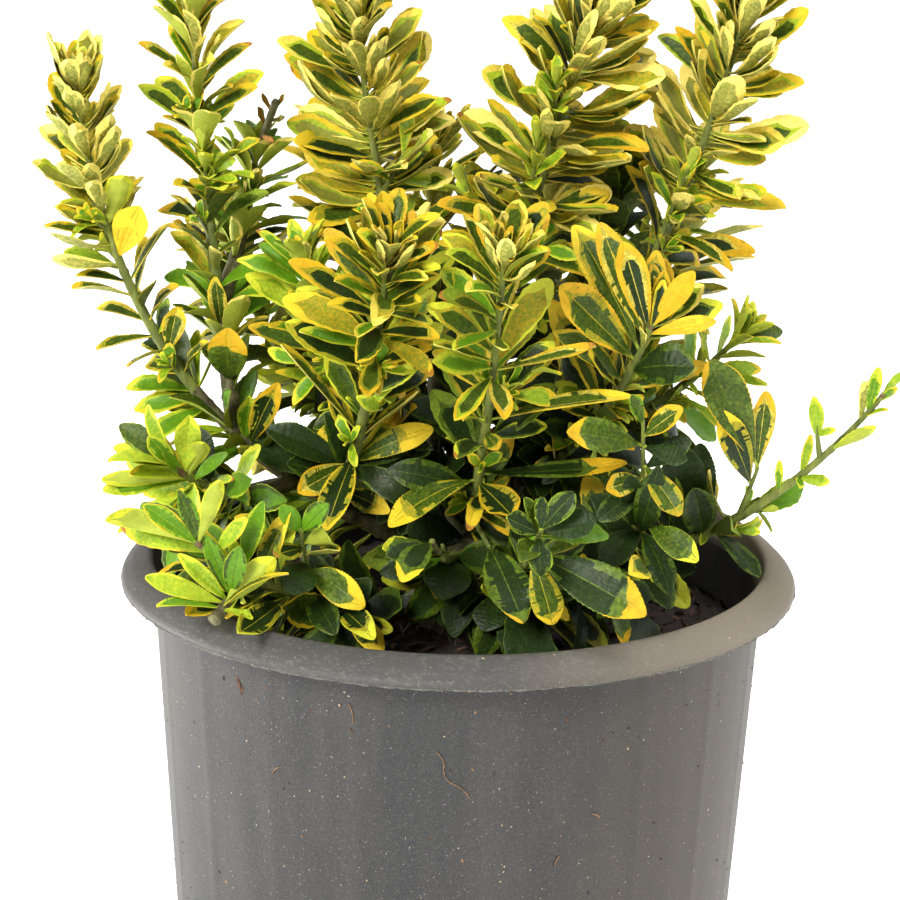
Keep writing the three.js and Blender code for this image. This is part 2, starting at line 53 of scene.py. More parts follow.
def make_camera():
    data = bpy.data.cameras.new("camera")
    data.sensor_width = CAMERA_SENSOR
    data.lens = CAMERA_LENS
    data.clip_start = 0.05
    data.clip_end = 20
    camera = bpy.data.objects.new("camera", data)
    bpy.context.scene.collection.objects.link(camera)
    tilt, roll = math.radians(CAMERA_DOWN), math.radians(CAMERA_ROLL)
    right = Vector((1, 0, 0))
    back = Vector((0, -math.cos(tilt), math.sin(tilt)))
    up = back.cross(right)
    across = right * math.cos(roll) + up * math.sin(roll)
    upward = up * math.cos(roll) - right * math.sin(roll)
    turn = Matrix((across, upward, back)).transposed()
    camera.matrix_world = Matrix.Translation(CAMERA_EYE) @ turn.to_4x4()
    bpy.context.scene.camera = camera


make_camera()

MM = 0.001

# Pot and soil
POT_HEIGHT = 150
POT_BASE_RADIUS = 77
POT_NECK_RADIUS = 86
POT_WALL = 1.8
POT_FLOOR = 3
FOOT_CHAMFER = 1.5
RIM_RADIUS = 95
RIM_DROP = 7.5
SOIL_EDGE_HEIGHT = 125
SOIL_CROWN_HEIGHT = 132
SOIL_FLAT_RADIUS = 13
SOIL_UNEVENNESS = 1.6
SOIL_WALL_GAP = 0.6
SEAT_GAP = 0.3
STEEP_ALONG_Y = 0.8

# Trunk, boughs, stems and twigs
TRUNK_HEIGHT = 19
TRUNK_LEAN = (1.5, -1, 0)
TRUNK_FOOT_RADIUS = 9
TRUNK_WAIST_RADIUS = 6
TRUNK_TOP_RADIUS = 4.8
FLARE_POWER = 3
BOUGH_FOOT_RADIUS = 2.5
STEM_FOOT_RADIUS = 1.6
STEM_TIP_RADIUS = 0.7
TWIG_FOOT_RADIUS = 0.9
TWIG_TIP_RADIUS = 0.5

# The rule that places leaves
LEAF_WIDTH_RATIO = 0.34
LEAF_WIDEST = 0.58
LEAF_ANGLE_LOW = 76
LEAF_ANGLE_TOP = 26
LEAF_ANGLE_POWER = 1.6
LEAF_TRIES = 4
LEAF_TRY_RAISE = 0.2
LEAF_TRY_SHRINK = 0.1
FOOT_LEAF = 0.85
FOOT_LEAF_REACH = 0.3
TIP_LEAF_FROM = 0.45
NODE_CROWDING = 1.5
AZIMUTH_JITTER = 13
ANGLE_JITTER = 8
ROLL_JITTER = 16
LENGTH_JITTER = 0.12
BETWEEN_SMALLEST = 0.5
BETWEEN_JITTER = 22
BETWEEN_ANGLE_JITTER = 12
LEAF_PROBES = [(0.3, 0), (LEAF_WIDEST, -1), (LEAF_WIDEST, 1), (0.8, -0.5), (0.8, 0.5), (1, 0)]
TWIG_LENGTH = 0.55
TWIG_ANGLE = 42
TWIG_LEAF = 0.55
TWIG_NODES = 2
TWIG_FIRST = 0.15
TWIG_LAST = 0.6
TWIG_PROBE = 0.6
SPACE_MARGIN = 0.6
LOOSE_MARGIN = -3
LIMB_MARGIN = 1
POT_MARGIN = 1
POT_INSIDE_MARGIN = 2
STEM_CLEARANCE = 4
AXIS_SAMPLES = 12
SEED = 4081
SEED_STEP = 101
# Seeds of what the solids leave out: extra leaves, and the single parts
EXTRA_STREAM = 61
SPRIG_SEED, BRANCH_SEED, STYLE_SEED, WOOD_SEED = SEED + 17, SEED + 23, SEED + 7, SEED + 31
SOIL_SEED, RIM_SEED, GRIT_SEED, FIBRE_SEED = SEED + 47, SEED + 59, SEED + 71, SEED + 73

# name, from, at, tip, start, bow, leaf, tip leaf, nodes, twigs, droop, tone
SHOOTS = [
    ("far_left", "trunk", 0.75, (-105, -12, 284), 0.5, 28, 21, 0.75, 14, 1, 0, "cream"),
    ("tall_left", "far_left", 0.4, (-76, 10, 302), 0.34, 2, 24, 0.7, 13, 1, 0, "gold"),
    ("left_side", "tall_left", 0.3, (-59, 28, 258), 0.5, 4, 20, 0.6, 6, 0, 0, "green"),
    ("tall_middle_left", "trunk", 1, (-31, 18, 297), 0.24, 4, 29, 0.65, 18, 1, 0, "cream"),
    ("behind_left", "tall_middle_left", 0.2, (-9, 40, 259), 0.36, 5, 23, 0.6, 9, 0, 0, "cream"),
    ("tall_middle_right", "trunk", 0.98, (36, 4, 305), 0.24, -5, 29, 0.65, 19, 1, 0, "cream"),
    ("tall_right", "trunk", 0.85, (75, 0, 304), 0.34, 9, 28, 0.65, 16, 1, 0, "cream"),
    ("front_left", "far_left", 0.2, (-20, -56, 247), 0.24, 6, 30, 0.65, 17, 1, 0.05, "gold"),
    ("front_middle", "trunk", 0.7, (10, -64, 249), 0.2, 7, 33, 0.55, 15, 1, 0.1, "gold"),
    ("right_rosette", "tall_right", 0.16, (50, -42, 227), 0.26, 6, 34, 0.6, 12, 1, 0, "gold"),
    ("right_branch", "trunk", 0.45, (114, -30, 206), 0.48, 16, 25, 0.36, 8, 0, -0.8, "lime"),
    ("right_small", "tall_right", 0.22, (77, 0, 214), 0.36, 5, 22, 0.6, 7, 0, 0, "lime"),
    ("low_left_front", "trunk", 0.3, (-69, -72, 174), 0.56, 10, 31, 0.75, 11, 1, -0.1, "lime"),
    ("low_left", "far_left", 0.28, (-78, -38, 185), 0.28, 6, 27, 0.7, 10, 1, 0, "lime"),
    ("low_front_left", "low_left_front", 0.36, (-34, -74, 162), 0.36, 4, 27, 0.55, 9, 0, 0.2, "green"),
    ("low_middle", "front_middle", 0.12, (-9, -62, 178), 0.24, 8, 31, 0.6, 10, 0, 0.4, "green"),
    ("low_front", "trunk", 0.5, (21, -70, 178), 0.32, 10, 36, 0.42, 11, 0, 0.5, "green"),
    ("low_front_right", "low_front", 0.18, (52, -58, 167), 0.36, 6, 30, 0.6, 8, 0, 0.3, "green"),
    ("right_front", "right_branch", 0.3, (56, -56, 195), 0.3, 5, 29, 0.5, 9, 0, 0.3, "green"),
    ("left_middle", "tall_middle_left", 0.15, (-43, -20, 235), 0.26, 8, 27, 0.6, 11, 1, 0, "lime"),
    ("behind_right", "tall_right", 0.26, (44, 34, 249), 0.34, 4, 27, 0.6, 9, 0, 0, "green"),
    ("behind_middle", "tall_middle_right", 0.2, (5, 28, 243), 0.34, 3, 25, 0.6, 9, 0, 0, "green"),
    ("back_middle_left", "trunk", 0.6, (-34, 66, 258), 0.34, 16, 29, 0.6, 12, 1, 0, "gold"),
    ("back_left", "back_middle_left", 0.26, (-70, 46, 230), 0.3, 10, 28, 0.6, 10, 0, 0, "gold"),
    ("back_right", "trunk", 0.55, (66, 50, 252), 0.34, 16, 29, 0.6, 12, 1, 0, "gold"),
    ("back_middle_right", "back_right", 0.26, (24, 68, 246), 0.3, 10, 29, 0.6, 11, 0, 0, "gold"),
    ("back_low_left", "back_middle_left", 0.18, (-46, 70, 184), 0.36, 8, 31, 0.6, 9, 0, 0.2, "lime"),
    ("back_low_right", "back_right", 0.18, (46, 72, 186), 0.36, 8, 31, 0.6, 9, 0, 0.2, "green"),
]
FIELDS = "name from at tip start bow leaf tip_leaf nodes twigs droop tone".split()
TIP_FROM = {"right_branch": 0.05}

UP = np.array([0.0, 0.0, 1.0])
WORD = 0xFFFFFFFF


def mix(a, b, t):
    return a + (b - a) * t


def smooth_step(t):
    k = np.clip(t, 0, 1)
    return k * k * (3 - 2 * k)


def unit(v):
    return v / np.linalg.norm(v, axis=-1, keepdims=True)


def seeded_random(seed):
    """The repeatable stream of numbers from 0 to 1 that the solids use."""
    state = seed & WORD

    def draw():
        nonlocal state
        state = (state + 0x6D2B79F5) & WORD
        t = state
        t = ((t ^ (t >> 15)) * (t | 1)) & WORD
        t ^= (t + (((t ^ (t >> 7)) * (t | 61)) & WORD)) & WORD
        return ((t ^ (t >> 14)) & WORD) / 4294967296

    return draw


def spread(draw, size):
    return (draw() * 2 - 1) * size


class Path:
    """A quadratic curve, or the part of one between two shares of it."""

    def __init__(self, controls, low=0.0, high=1.0):
        self.controls = np.array(controls, float)
        self.low = low
        self.high = high

    def point(self, t):
        s = mix(self.low, self.high, np.asarray(t, float))[..., None]
        a, b, c = self.controls
        return (1 - s) ** 2 * a + 2 * s * (1 - s) * b + s * s * c

    def tangent(self, t):
        s = mix(self.low, self.high, np.asarray(t, float))[..., None]
        a, b, c = self.controls
        return unit((1 - s) * (b - a) + s * (c - b))

    def part(self, low, high):
        return Path(self.controls, low, high)

    def points(self, count):
        return self.point(np.linspace(0, 1, count + 1))

    def length(self):
        return np.linalg.norm(np.diff(self.points(200), axis=0), axis=1).sum()


def line(foot, tip):
    return Path([foot, (foot + tip) / 2, tip])


def frame_at(path, t):
    tangent = path.tangent(t)
    reference = np.zeros_like(tangent)
    along_x = np.abs(tangent[..., 1]) > STEEP_ALONG_Y
    reference[..., 0] = along_x
    reference[..., 1] = ~along_x if tangent.ndim > 1 else not along_x
    side = unit(reference - (reference * tangent).sum(-1, keepdims=True) * tangent)
    return tangent, side, np.cross(side, tangent)


def trunk_path():
    foot = np.array([0, 0, SOIL_CROWN_HEIGHT + SEAT_GAP])
    top = foot + UP * TRUNK_HEIGHT + TRUNK_LEAN
    return Path([foot, foot + UP * TRUNK_HEIGHT / 2, top])


def trunk_radius(t):
    flare = (TRUNK_FOOT_RADIUS - TRUNK_WAIST_RADIUS) * (1 - t) ** FLARE_POWER
    return mix(TRUNK_WAIST_RADIUS, TRUNK_TOP_RADIUS, t) + flare


def shoot_path(foot, tip, bow):
    chord = unit(tip - foot)
    outward = unit((tip - foot) * [1, 1, 0])
    sideways = unit(outward - outward.dot(chord) * chord)
    return Path([foot, (foot + tip) / 2 + sideways * 2 * bow, tip])


def lay_out_shoots():
    paths = {"trunk": trunk_path()}
    shoots = []
    for index, row in enumerate(SHOOTS):
        shoot = dict(zip(FIELDS, row))
        foot = paths[shoot["from"]].point(shoot["at"])
        path = shoot_path(foot, np.array(shoot["tip"], float), shoot["bow"])
        paths[shoot["name"]] = path
        gap = SEAT_GAP / path.length()
        shoot.update(
            index=index,
            path=path,
            bough=path.part(0, shoot["start"]),
            stem=path.part(shoot["start"] + gap, 1),
            tip_from=TIP_FROM.get(shoot["name"], TIP_LEAF_FROM),
        )
        shoots.append(shoot)
    return shoots


shoots = lay_out_shoots()
by_name = {shoot["name"]: shoot for shoot in shoots}

# The room of each mass


def pot_inside(z):
    t = (z - POT_FLOOR) / (POT_HEIGHT - RIM_DROP - POT_WALL - POT_FLOOR)
    return mix(POT_BASE_RADIUS, POT_NECK_RADIUS, t) - POT_WALL


def soil_height(radius):
    edge = pot_inside(SOIL_EDGE_HEIGHT) - SOIL_WALL_GAP
    t = smooth_step((radius - SOIL_FLAT_RADIUS) / (edge - SOIL_FLAT_RADIUS))
    return mix(SOIL_CROWN_HEIGHT, SOIL_EDGE_HEIGHT, t)


def clear_of_pot(points):
    radius = np.hypot(points[:, 0], points[:, 1])
    z = points[:, 2]
    inside = radius < pot_inside(SOIL_EDGE_HEIGHT) - POT_INSIDE_MARGIN
    over_soil = z > soil_height(radius) + SOIL_UNEVENNESS + POT_MARGIN
    over_rim = (radius >= RIM_RADIUS + POT_MARGIN) | (z > POT_HEIGHT + POT_MARGIN)
    return np.where(inside, over_soil, over_rim)


room_paths = np.array([shoot["stem"].points(AXIS_SAMPLES) for shoot in shoots])
limb_paths = np.array(
    [shoot["bough"].points(AXIS_SAMPLES) for shoot in shoots] + [trunk_path().points(AXIS_SAMPLES)]
)
limb_radii = np.array([BOUGH_FOOT_RADIUS] * len(shoots) + [TRUNK_FOOT_RADIUS], float)


def distances(points, paths):
    """Distance from each point to each path: an array of points by paths."""
    starts = paths[:, :-1]
    along = paths[:, 1:] - starts
    to_point = points[:, None, None] - starts
    share = np.clip((to_point * along).sum(-1) / (along * along).sum(-1), 0, 1)
    gap = to_point - along * share[..., None]
    return np.sqrt((gap * gap).sum(-1).min(-1))


def in_own_room(points, own, margin=SPACE_MARGIN):
    """True where every point is nearest to its own stem and touches no limb, pot or soil."""
    if not clear_of_pot(points).all():
        return False
    reach = distances(points, room_paths)
    if own is not None:
        mine = reach[:, own].copy()
        reach[:, own] = np.inf
        if (reach.min(1) < mine + margin).any():
            return False
    elif (reach.min(1) < STEM_CLEARANCE).any():
        return False
    return bool((distances(points, limb_paths) > limb_radii + LIMB_MARGIN).all())


def turned(vector, axis, degrees):
    angle = math.radians(degrees)
    return (
        vector * math.cos(angle)
        + np.cross(axis, vector) * math.sin(angle)
        + axis * axis.dot(vector) * (1 - math.cos(angle))
    )


def leaf_probes(leaf):
    across = np.cross(leaf["normal"], leaf["direction"])
    return np.array([
        leaf["root"] + leaf["length"] * (
            leaf["direction"] * share + across * sideways * LEAF_WIDTH_RATIO / 2)
        for share, sideways in LEAF_PROBES
    ])


def fit_leaf(path, t, azimuth, angle, roll, length, droop, own, margin=SPACE_MARGIN):
    """A leaf at one side of a stem, raised and shortened until it keeps to the room."""
    tangent, side, across = frame_at(path, t)
    outward = side * math.cos(azimuth) + across * math.sin(azimuth)
    for attempt in range(LEAF_TRIES):
        tilt = math.radians(angle * (1 - LEAF_TRY_RAISE * attempt))
        direction = tangent * math.cos(tilt) + outward * math.sin(tilt)
        direction = unit(direction - UP * droop * math.sin(tilt))
        normal = unit(tangent - tangent.dot(direction) * direction)
        leaf = {
            "root": path.point(t),
            "direction": direction,
            "normal": turned(normal, direction, roll),
            "length": length * (1 - LEAF_TRY_SHRINK * attempt),
        }
        if in_own_room(leaf_probes(leaf), own, margin):
            return leaf
    return None


def leaf_profile(u, shoot):
    lower = mix(FOOT_LEAF, 1, smooth_step(u / FOOT_LEAF_REACH))
    tip_from = shoot["tip_from"]
    return lower * mix(1, shoot["tip_leaf"], smooth_step((u - tip_from) / (1 - tip_from)))


def crowded(u):
    """Share of a stem at which a node stands, closer to the next one towards the tip."""
    return 1 - (1 - u) ** NODE_CROWDING


def side_of(phase, node, pair):
    """Angle round a stem of one leaf of a crossed pair."""
    return phase + node * math.pi / 2 + pair * math.pi


def keep(leaf, leaves, **facts):
    """Adds a leaf that has found room, with the facts that its style depends on."""
    if leaf:
        leaf.update(facts)
        leaves.append(leaf)


def add_pair(leaves, path, node, u, phase, leaf_length, shoot, draw, between=False):
    """A pair of leaves at a node of the rule or, looser and smaller, between two nodes."""
    angle = mix(LEAF_ANGLE_LOW, LEAF_ANGLE_TOP, u ** LEAF_ANGLE_POWER)
    for pair in range(2):
        jitter = spread(draw, BETWEEN_JITTER if between else AZIMUTH_JITTER)
        azimuth = side_of(phase, node, pair) + math.radians(jitter)
        leaf_angle = angle + spread(draw, BETWEEN_ANGLE_JITTER if between else ANGLE_JITTER)
        size = mix(BETWEEN_SMALLEST, 1, draw()) if between else 1 + spread(draw, LENGTH_JITTER)
        share = leaf_profile(u, shoot) * size
        leaf = fit_leaf(path, crowded(u), azimuth, leaf_angle, spread(draw, ROLL_JITTER),
                        leaf_length * share, shoot["droop"], shoot["index"],
                        LOOSE_MARGIN if between else SPACE_MARGIN)
        keep(leaf, leaves, u=u)


def grow_pairs(path, nodes, leaf_length, shoot, draw):
    """Crossed pairs of leaves along a stem, closer together towards its tip."""
    leaves = []
    phase = draw() * math.pi
    for i in range(nodes):
        add_pair(leaves, path, i, (i + 0.5) / nodes, phase, leaf_length, shoot, draw)
    return phase, leaves


def slanted(path, t, azimuth, degrees):
    """Direction that leaves a path at an angle to it, to one side."""
    tangent, side, across = frame_at(path, t)
    outward = side * math.cos(azimuth) + across * math.sin(azimuth)
    tilt = math.radians(degrees)
    return tangent * math.cos(tilt) + outward * math.sin(tilt)


def grow_twig(shoot, draw):
    """A short side twig with two pairs of small leaves."""
    t = mix(TWIG_FIRST, TWIG_LAST, draw())
    direction = slanted(shoot["stem"], t, draw() * math.pi * 2, TWIG_ANGLE)
    foot = shoot["stem"].point(t)
    tip = foot + direction * shoot["leaf"] * TWIG_LENGTH
    if not in_own_room(np.array([tip, mix(foot, tip, TWIG_PROBE)]), shoot["index"]):
        return None
    path = line(foot, tip)
    return path, grow_pairs(path, TWIG_NODES, shoot["leaf"] * TWIG_LEAF, shoot, draw)[1]


# Growth that the solids leave out

DENSE_FROM = 0.3
LAST_BETWEEN = 0.99
# Extra pairs between two pairs of the rule, in the lower and the upper part of a shoot
EXTRA_PAIRS = {"cream": (1, 3), "gold": (1, 2), "lime": (1, 1), "green": (1, 1)}
# Shoots with one more pair in the upper part
FULLER = ("tall_middle_left", "tall_middle_right", "tall_right")


def between_pairs(shoot, phase, draw):
    """Pairs between those of the rule, turned on from one to the next."""
    leaves = []
    nodes = shoot["nodes"]
    for i in range(nodes):
        upper = i > DENSE_FROM * nodes
        extra = EXTRA_PAIRS[shoot["tone"]][upper] + (upper and shoot["name"] in FULLER)
        for k in range(1, extra + 1):
            on = k / (extra + 1)
            u = min(LAST_BETWEEN, (i + 0.5 + on) / nodes)
            add_pair(leaves, shoot["stem"], i + on, u, phase, shoot["leaf"], shoot, draw, True)
    return leaves


TUFTS = {"cream": 5, "gold": 7, "lime": 5, "green": 3}
TUFT_PLACE = (0.04, 0.62)
TUFT_SIZE = (0.8, 1.15)
TUFT_ANGLE = 38
TUFT_AXIS = (1.5, 5)
TUFT_LEAVES = 6
TUFT_LEAF = (6.5, 12)
TUFT_TIP_LEAF = 0.6
# Of the leaves of a tuft, a bud and a young sprig: where the first stands on its axis, and the
# angles between axis and leaf, from the first to the last
TUFT_FROM = 0.55
TUFT_ANGLES = (62, 20)
BUD_FROM = 0.965
BUD_ANGLES = (30, 8)
YOUNG_FROM = 0.45
YOUNG_ANGLES = (62, 14)


def tuft(path, t, azimuth, size, shoot, draw):
    """A young side shoot in the axil of a leaf: a few small leaves on a short axis."""
    axis = slanted(path, t, azimuth, TUFT_ANGLE)
    foot = path.point(t)
    tip = foot + axis * (STEM_FOOT_RADIUS + mix(*TUFT_AXIS, draw()) * size)
    twig = line(foot, tip)
    leaves = []
    phase = draw() * math.pi
    for i in range(TUFT_LEAVES):
        u = i / (TUFT_LEAVES - 1)
        turn = side_of(phase, i // 2, i % 2) + math.radians(spread(draw, 20))
        length = mix(*TUFT_LEAF, draw()) * size * mix(1, TUFT_TIP_LEAF, u)
        angle = mix(*TUFT_ANGLES, u) + spread(draw, 10)
        leaf = fit_leaf(twig, mix(TUFT_FROM, 1, u), turn, angle, spread(draw, 20), length, 0,
                        shoot["index"], LOOSE_MARGIN * 2)
        keep(leaf, leaves, u=0.5, young=True)
    return twig, leaves


BUD_LEAVES = 8
BUD_SIZES = (0.85, 0.5)


def tip_bud(shoot, draw):
    """The closed leaves at the tip of a shoot."""
    leaves = []
    phase = draw() * math.pi
    size = shoot["leaf"] * shoot["tip_leaf"]
    for i in range(BUD_LEAVES):
        u = i / (BUD_LEAVES - 1)
        turn = side_of(phase, i // 2, i % 2)
        angle = mix(*BUD_ANGLES, u) + spread(draw, 5)
        leaf = fit_leaf(shoot["stem"], mix(BUD_FROM, 1, u), turn, angle, spread(draw, 12),
                        size * mix(*BUD_SIZES, u), 0, shoot["index"], LOOSE_MARGIN * 2)
        keep(leaf, leaves, u=1.0)
    return leaves


# Number of inner leaves of a shoot, and of the shoots that have another number
INNER_LEAVES = 12
OTHER_INNER = {
    "far_left": 74, "tall_left": 44, "left_side": 24, "front_left": 16, "front_middle": 16,
    "tall_middle_left": 20, "tall_middle_right": 20, "tall_right": 24, "low_left_front": 16,
    "low_left": 14, "right_branch": 8, "right_rosette": 34, "behind_right": 20,
    "right_small": 18, "right_front": 18, "behind_left": 18, "behind_middle": 20,
    "left_middle": 24,
}
# Shoots whose inner leaves are small and light
LIGHT_INSIDE = ("far_left", "tall_left", "left_side")
INNER_FROM = 0.18
INNER_ANGLE = 58
INNER_DROOP = 0.1
INNER_LENGTH = (19, 29)
LIGHT_LENGTH = (14, 23)


def inner_leaves(shoot, draw):
    """Old leaves on the upper part of a bough, where the crown is dark."""
    leaves = []
    light = shoot["name"] in LIGHT_INSIDE
    for _ in range(OTHER_INNER.get(shoot["name"], INNER_LEAVES)):
        t = mix(INNER_FROM, 1, draw() ** 0.6)
        length = mix(*(LIGHT_LENGTH if light else INNER_LENGTH), draw())
        leaf = fit_leaf(shoot["bough"], t, draw() * math.pi * 2, INNER_ANGLE + spread(draw, 24),
                        spread(draw, 30), length, INNER_DROOP, None)
        keep(leaf, leaves, u=0.0, old=not light, light=light)
    return leaves


def grow_shoot(shoot):
    """Every leaf of a shoot and the twigs that carry them."""
    draw = seeded_random(SEED + SEED_STEP * (shoot["index"] + 1))
    phase, leaves = grow_pairs(shoot["stem"], shoot["nodes"], shoot["leaf"], shoot, draw)
    twigs = []
    for _ in range(shoot["twigs"]):
        twig = grow_twig(shoot, draw)
        if twig:
            twigs.append(twig[0])
            for leaf in twig[1]:
                leaf.update(young=True)
            leaves += twig[1]
    extra = seeded_random(SEED + SEED_STEP * (shoot["index"] + EXTRA_STREAM))
    if shoot["name"] != "right_branch":
        leaves += between_pairs(shoot, phase, extra)
        leaves += tip_bud(shoot, extra)
    leaves += inner_leaves(shoot, extra)
    for _ in range(TUFTS[shoot["tone"]]):
        t = mix(*TUFT_PLACE, extra())
        azimuth = extra() * math.pi * 2
        size = mix(*TUFT_SIZE, extra())
        twig, young = tuft(shoot["stem"], t, azimuth, size, shoot, extra)
        twigs.append(twig)
        leaves += young
    return twigs, leaves


growth = [grow_shoot(shoot) for shoot in shoots]

# Sprigs and leaves that stand out at the front, each on its own stem

# name, stem, share of its length, tip
FRONT_SPRIGS = [
    ("stub_twig", "low_left_front", 0.78, (-63, -72, 155)),
    ("left_sprig", "low_left_front", 0.54, (-42, -62, 175)),
    ("front_sprig", "low_front", 0.88, (21, -78, 181)),
    ("right_sprig", "right_front", 0.52, (48, -50, 203)),
    ("branch_sprig", "right_branch", 0.61, (81, -28, 184)),
    ("branch_bud", "right_branch", 0.82, (96, -30, 197)),
    ("hang_twig", "front_middle", 0.22, (8, -50, 167)),
    ("dead_twig", "left_side", 0.97, (-53, 17, 273)),
]
# stem, and of each leaf on it: share of the stem's length, tip of the leaf, where its face looks,
# style, width by length
FRONT_LEAVES = """
front_middle: 0.36 -19 -39 168 up tipped 0.36
low_middle: 0.02 -14 -26 164 eye dark 0.40
front_middle: 0.35 14 -44 174 eye gold 0.62; 0.52 10 -46 193 eye gold 0.62
front_middle: 0.32 -19 -32 183 eye dark 0.40; 0.38 45 -38 186 up tipped 0.20
low_front: 0.88 49 -79 158 eye tipped 0.34; 0.88 25 -72 153 eye dipped 0.42
hang_twig: 0.92 17 -73 154 eye dipped 0.40
low_middle: 0.32 -4 -51 153 eye dark 0.55
low_front: 0.48 7 -50 143 eye dark 0.60
low_front_right: 0.76 51 -53 154 eye dark 0.60
front_sprig: 0.96 29 -81 192 eye sprout 0.50; 0.82 11 -81 185 eye sprout 0.50
front_sprig: 0.72 21 -84 171 eye sprout 0.50; 0.81 35 -79 184 eye dark 0.55
front_sprig: 0.98 21 -80 190 eye sprout 0.40
right_sprig: 0.47 38 -53 184 eye gold 0.50; 0.60 58 -57 180 eye gold 0.42
right_sprig: 0.77 27 -57 201 eye tipped 0.44; 0.77 60 -55 193 eye dark 0.40
right_sprig: 0.85 57 -56 208 eye gold 0.40; 0.55 61 -50 198 eye dark 0.45
right_sprig: 0.96 44 -53 211 eye fresh 0.45; 0.36 37 -52 176 eye dark 0.45
right_front: 0.50 38 -49 163 eye dark 0.50; 0.50 57 -51 155 eye dark 0.38
right_front: 0.55 63 -53 166 eye green 0.40
stub_twig: 0.85 -48 -74 171 under lime 0.34; 0.64 -57 -77 175 eye fresh 0.28
low_left_front: 0.99 -62 -77 193 under lime 0.26; 0.99 -92 -75 183 under lime 0.24
low_left_front: 0.99 -81 -80 186 eye lime 0.30
stub_twig: 0.78 -82 -75 165 eye lime 0.30; 0.90 -78 -79 160 up lime 0.30
low_left_front: 0.82 -51 -69 185 eye fresh 0.24; 0.75 -45 -65 180 eye gold 0.26
stub_twig: 0.93 -54 -75 155 up lime 0.40
low_left_front: 0.62 -58 -85 152 eye green 0.20
left_sprig: 0.07 -33 -65 148 eye dark 0.36
low_front_left: 0.43 -20 -63 142 eye green 0.40; 0.50 -23 -71 149 eye green 0.40
left_sprig: 0.44 -26 -66 156 eye green 0.42; 0.64 -31 -66 169 up gold 0.40
left_sprig: 0.79 -33 -68 174 under fresh 0.55; 0.95 -34 -65 183 eye fresh 0.50
left_sprig: 0.95 -47 -65 182 eye fresh 0.50; 0.72 -49 -68 169 eye green 0.42
left_sprig: 0.51 -44 -68 159 eye dark 0.60
front_left: 0.24 -44 -33 176 eye gold 0.42; 0.27 -36 -40 168 eye gold 0.40
front_left: 0.15 -48 -23 181 eye dark 0.50; 0.21 -53 -23 191 eye dark 0.36
front_left: 0.09 -19 -25 168 eye tipped 0.34; 0.24 -8 -23 192 eye tipped 0.32
front_left: 0.35 -10 -35 204 up gold 0.20; 0.38 -49 -36 218 up gold 0.20
low_left: 0.84 -89 -42 182 up lime 0.42; 0.85 -69 -42 192 under lime 0.42
low_left: 0.94 -84 -42 194 eye lime 0.36; 0.88 -73 -40 199 eye lime 0.42
low_left: 0.85 -97 -37 180 under lime 0.22; 0.62 -74 -19 190 eye dark 0.42
far_left: 0.40 -79 -17 199 up fresh 0.32; 0.38 -58 -15 199 eye lime 0.34
far_left: 0.37 -51 -19 202 eye gold 0.30
tall_left: 0.25 -68 -10 230 eye gold 0.34
far_left: 0.57 -78 -16 223 eye gold 0.40
tall_left: 0.12 -64 -17 217 eye tipped 0.50
right_branch: 0.55 83 -27 153 eye dark 0.30
right_rosette: 0.88 30 -36 252 eye gold 0.30; 0.93 36 -36 253 eye gold 0.28
right_rosette: 0.84 25 -45 238 eye gold 0.36; 0.96 41 -43 250 eye gold 0.34
right_rosette: 0.79 60 -49 218 eye dark 0.58
branch_sprig: 0.99 65 -33 216 eye edged 0.36; 0.90 82 -30 206 eye gold 0.30
branch_sprig: 0.64 69 -33 202 eye tipped 0.30
right_branch: 0.59 67 -26 182 up cream 0.24; 0.52 63 -30 179 eye dark 0.50
branch_bud: 0.59 95 -32 205 eye young 0.34; 0.70 101 -31 196 eye young 0.45
right_branch: 0.77 95 -27 193 eye young 0.24; 0.71 87 -26 185 eye young 0.24
right_branch: 0.93 109 -30 210 under cream 0.28; 0.95 112 -31 213 eye lime 0.30
right_branch: 0.98 117 -31 208 eye lime 0.36; 0.94 115 -31 202 up lime 0.30
right_rosette: 0.99 61 -46 243 eye yellow 0.34; 0.96 66 -48 230 eye yellow 0.30
front_middle: 0.56 45 -52 210 up gold 0.20; 0.71 35 -58 224 up gold 0.24
far_left: 0.74 -88 -17 251 eye yellow 0.56; 0.73 -112 -15 235 under cream 0.26
far_left: 0.79 -92 -16 260 under lime 0.42
stub_twig: 0.70 -73 -74 171 eye lime 0.26; 0.60 -66 -72 175 eye fresh 0.28
stub_twig: 0.55 -52 -72 169 eye lime 0.26
low_left_front: 0.97 -73 -76 189 eye fresh 0.28; 0.93 -56 -74 181 eye lime 0.26
low_left: 0.90 -80 -42 189 eye fresh 0.32; 0.80 -64 -38 188 eye fresh 0.30
stub_twig: 0.90 -45 -74 167 up gold 0.14
right_branch: 0.48 60 -22 190 eye dark 0.40; 0.50 66 -18 186 eye dark 0.36
right_branch: 0.45 56 -24 182 eye green 0.36
right_front: 0.45 45 -53 188 eye dark 0.28; 0.48 52 -52 189 eye dark 0.30
dead_twig: 0.55 -58 18 272 eye withered 0.40; 0.70 -51 16 270 eye withered 0.40
dead_twig: 0.85 -57 18 276 eye withered 0.36; 0.95 -51 16 276 eye withered 0.36
dead_twig: 0.40 -53 17 263 under withered 0.40
"""
# sprig, share of its length, tip, radius of a dead or cut end
STUBS = [
    ("stub_twig", 0.72, (-64, -74, 153), 1.7),
    ("dead_twig", 0, (-53, 17, 274), 1.1),
]
# stem, share of its length, tip of a short sprig of bright young leaves
YOUNG_SPRIGS = [
    ("tall_middle_right", 0.5, (0, 2, 254)),
    ("tall_middle_right", 0.6, (19, -8, 269)),
    ("tall_middle_right", 0.74, (24, -8, 285)),
    ("tall_right", 0.55, (60, -12, 263)),
    ("tall_left", 0.5, (-72, 0, 263)),
]
YOUNG_LEAVES = 10
YOUNG_LENGTHS = (14, 8)
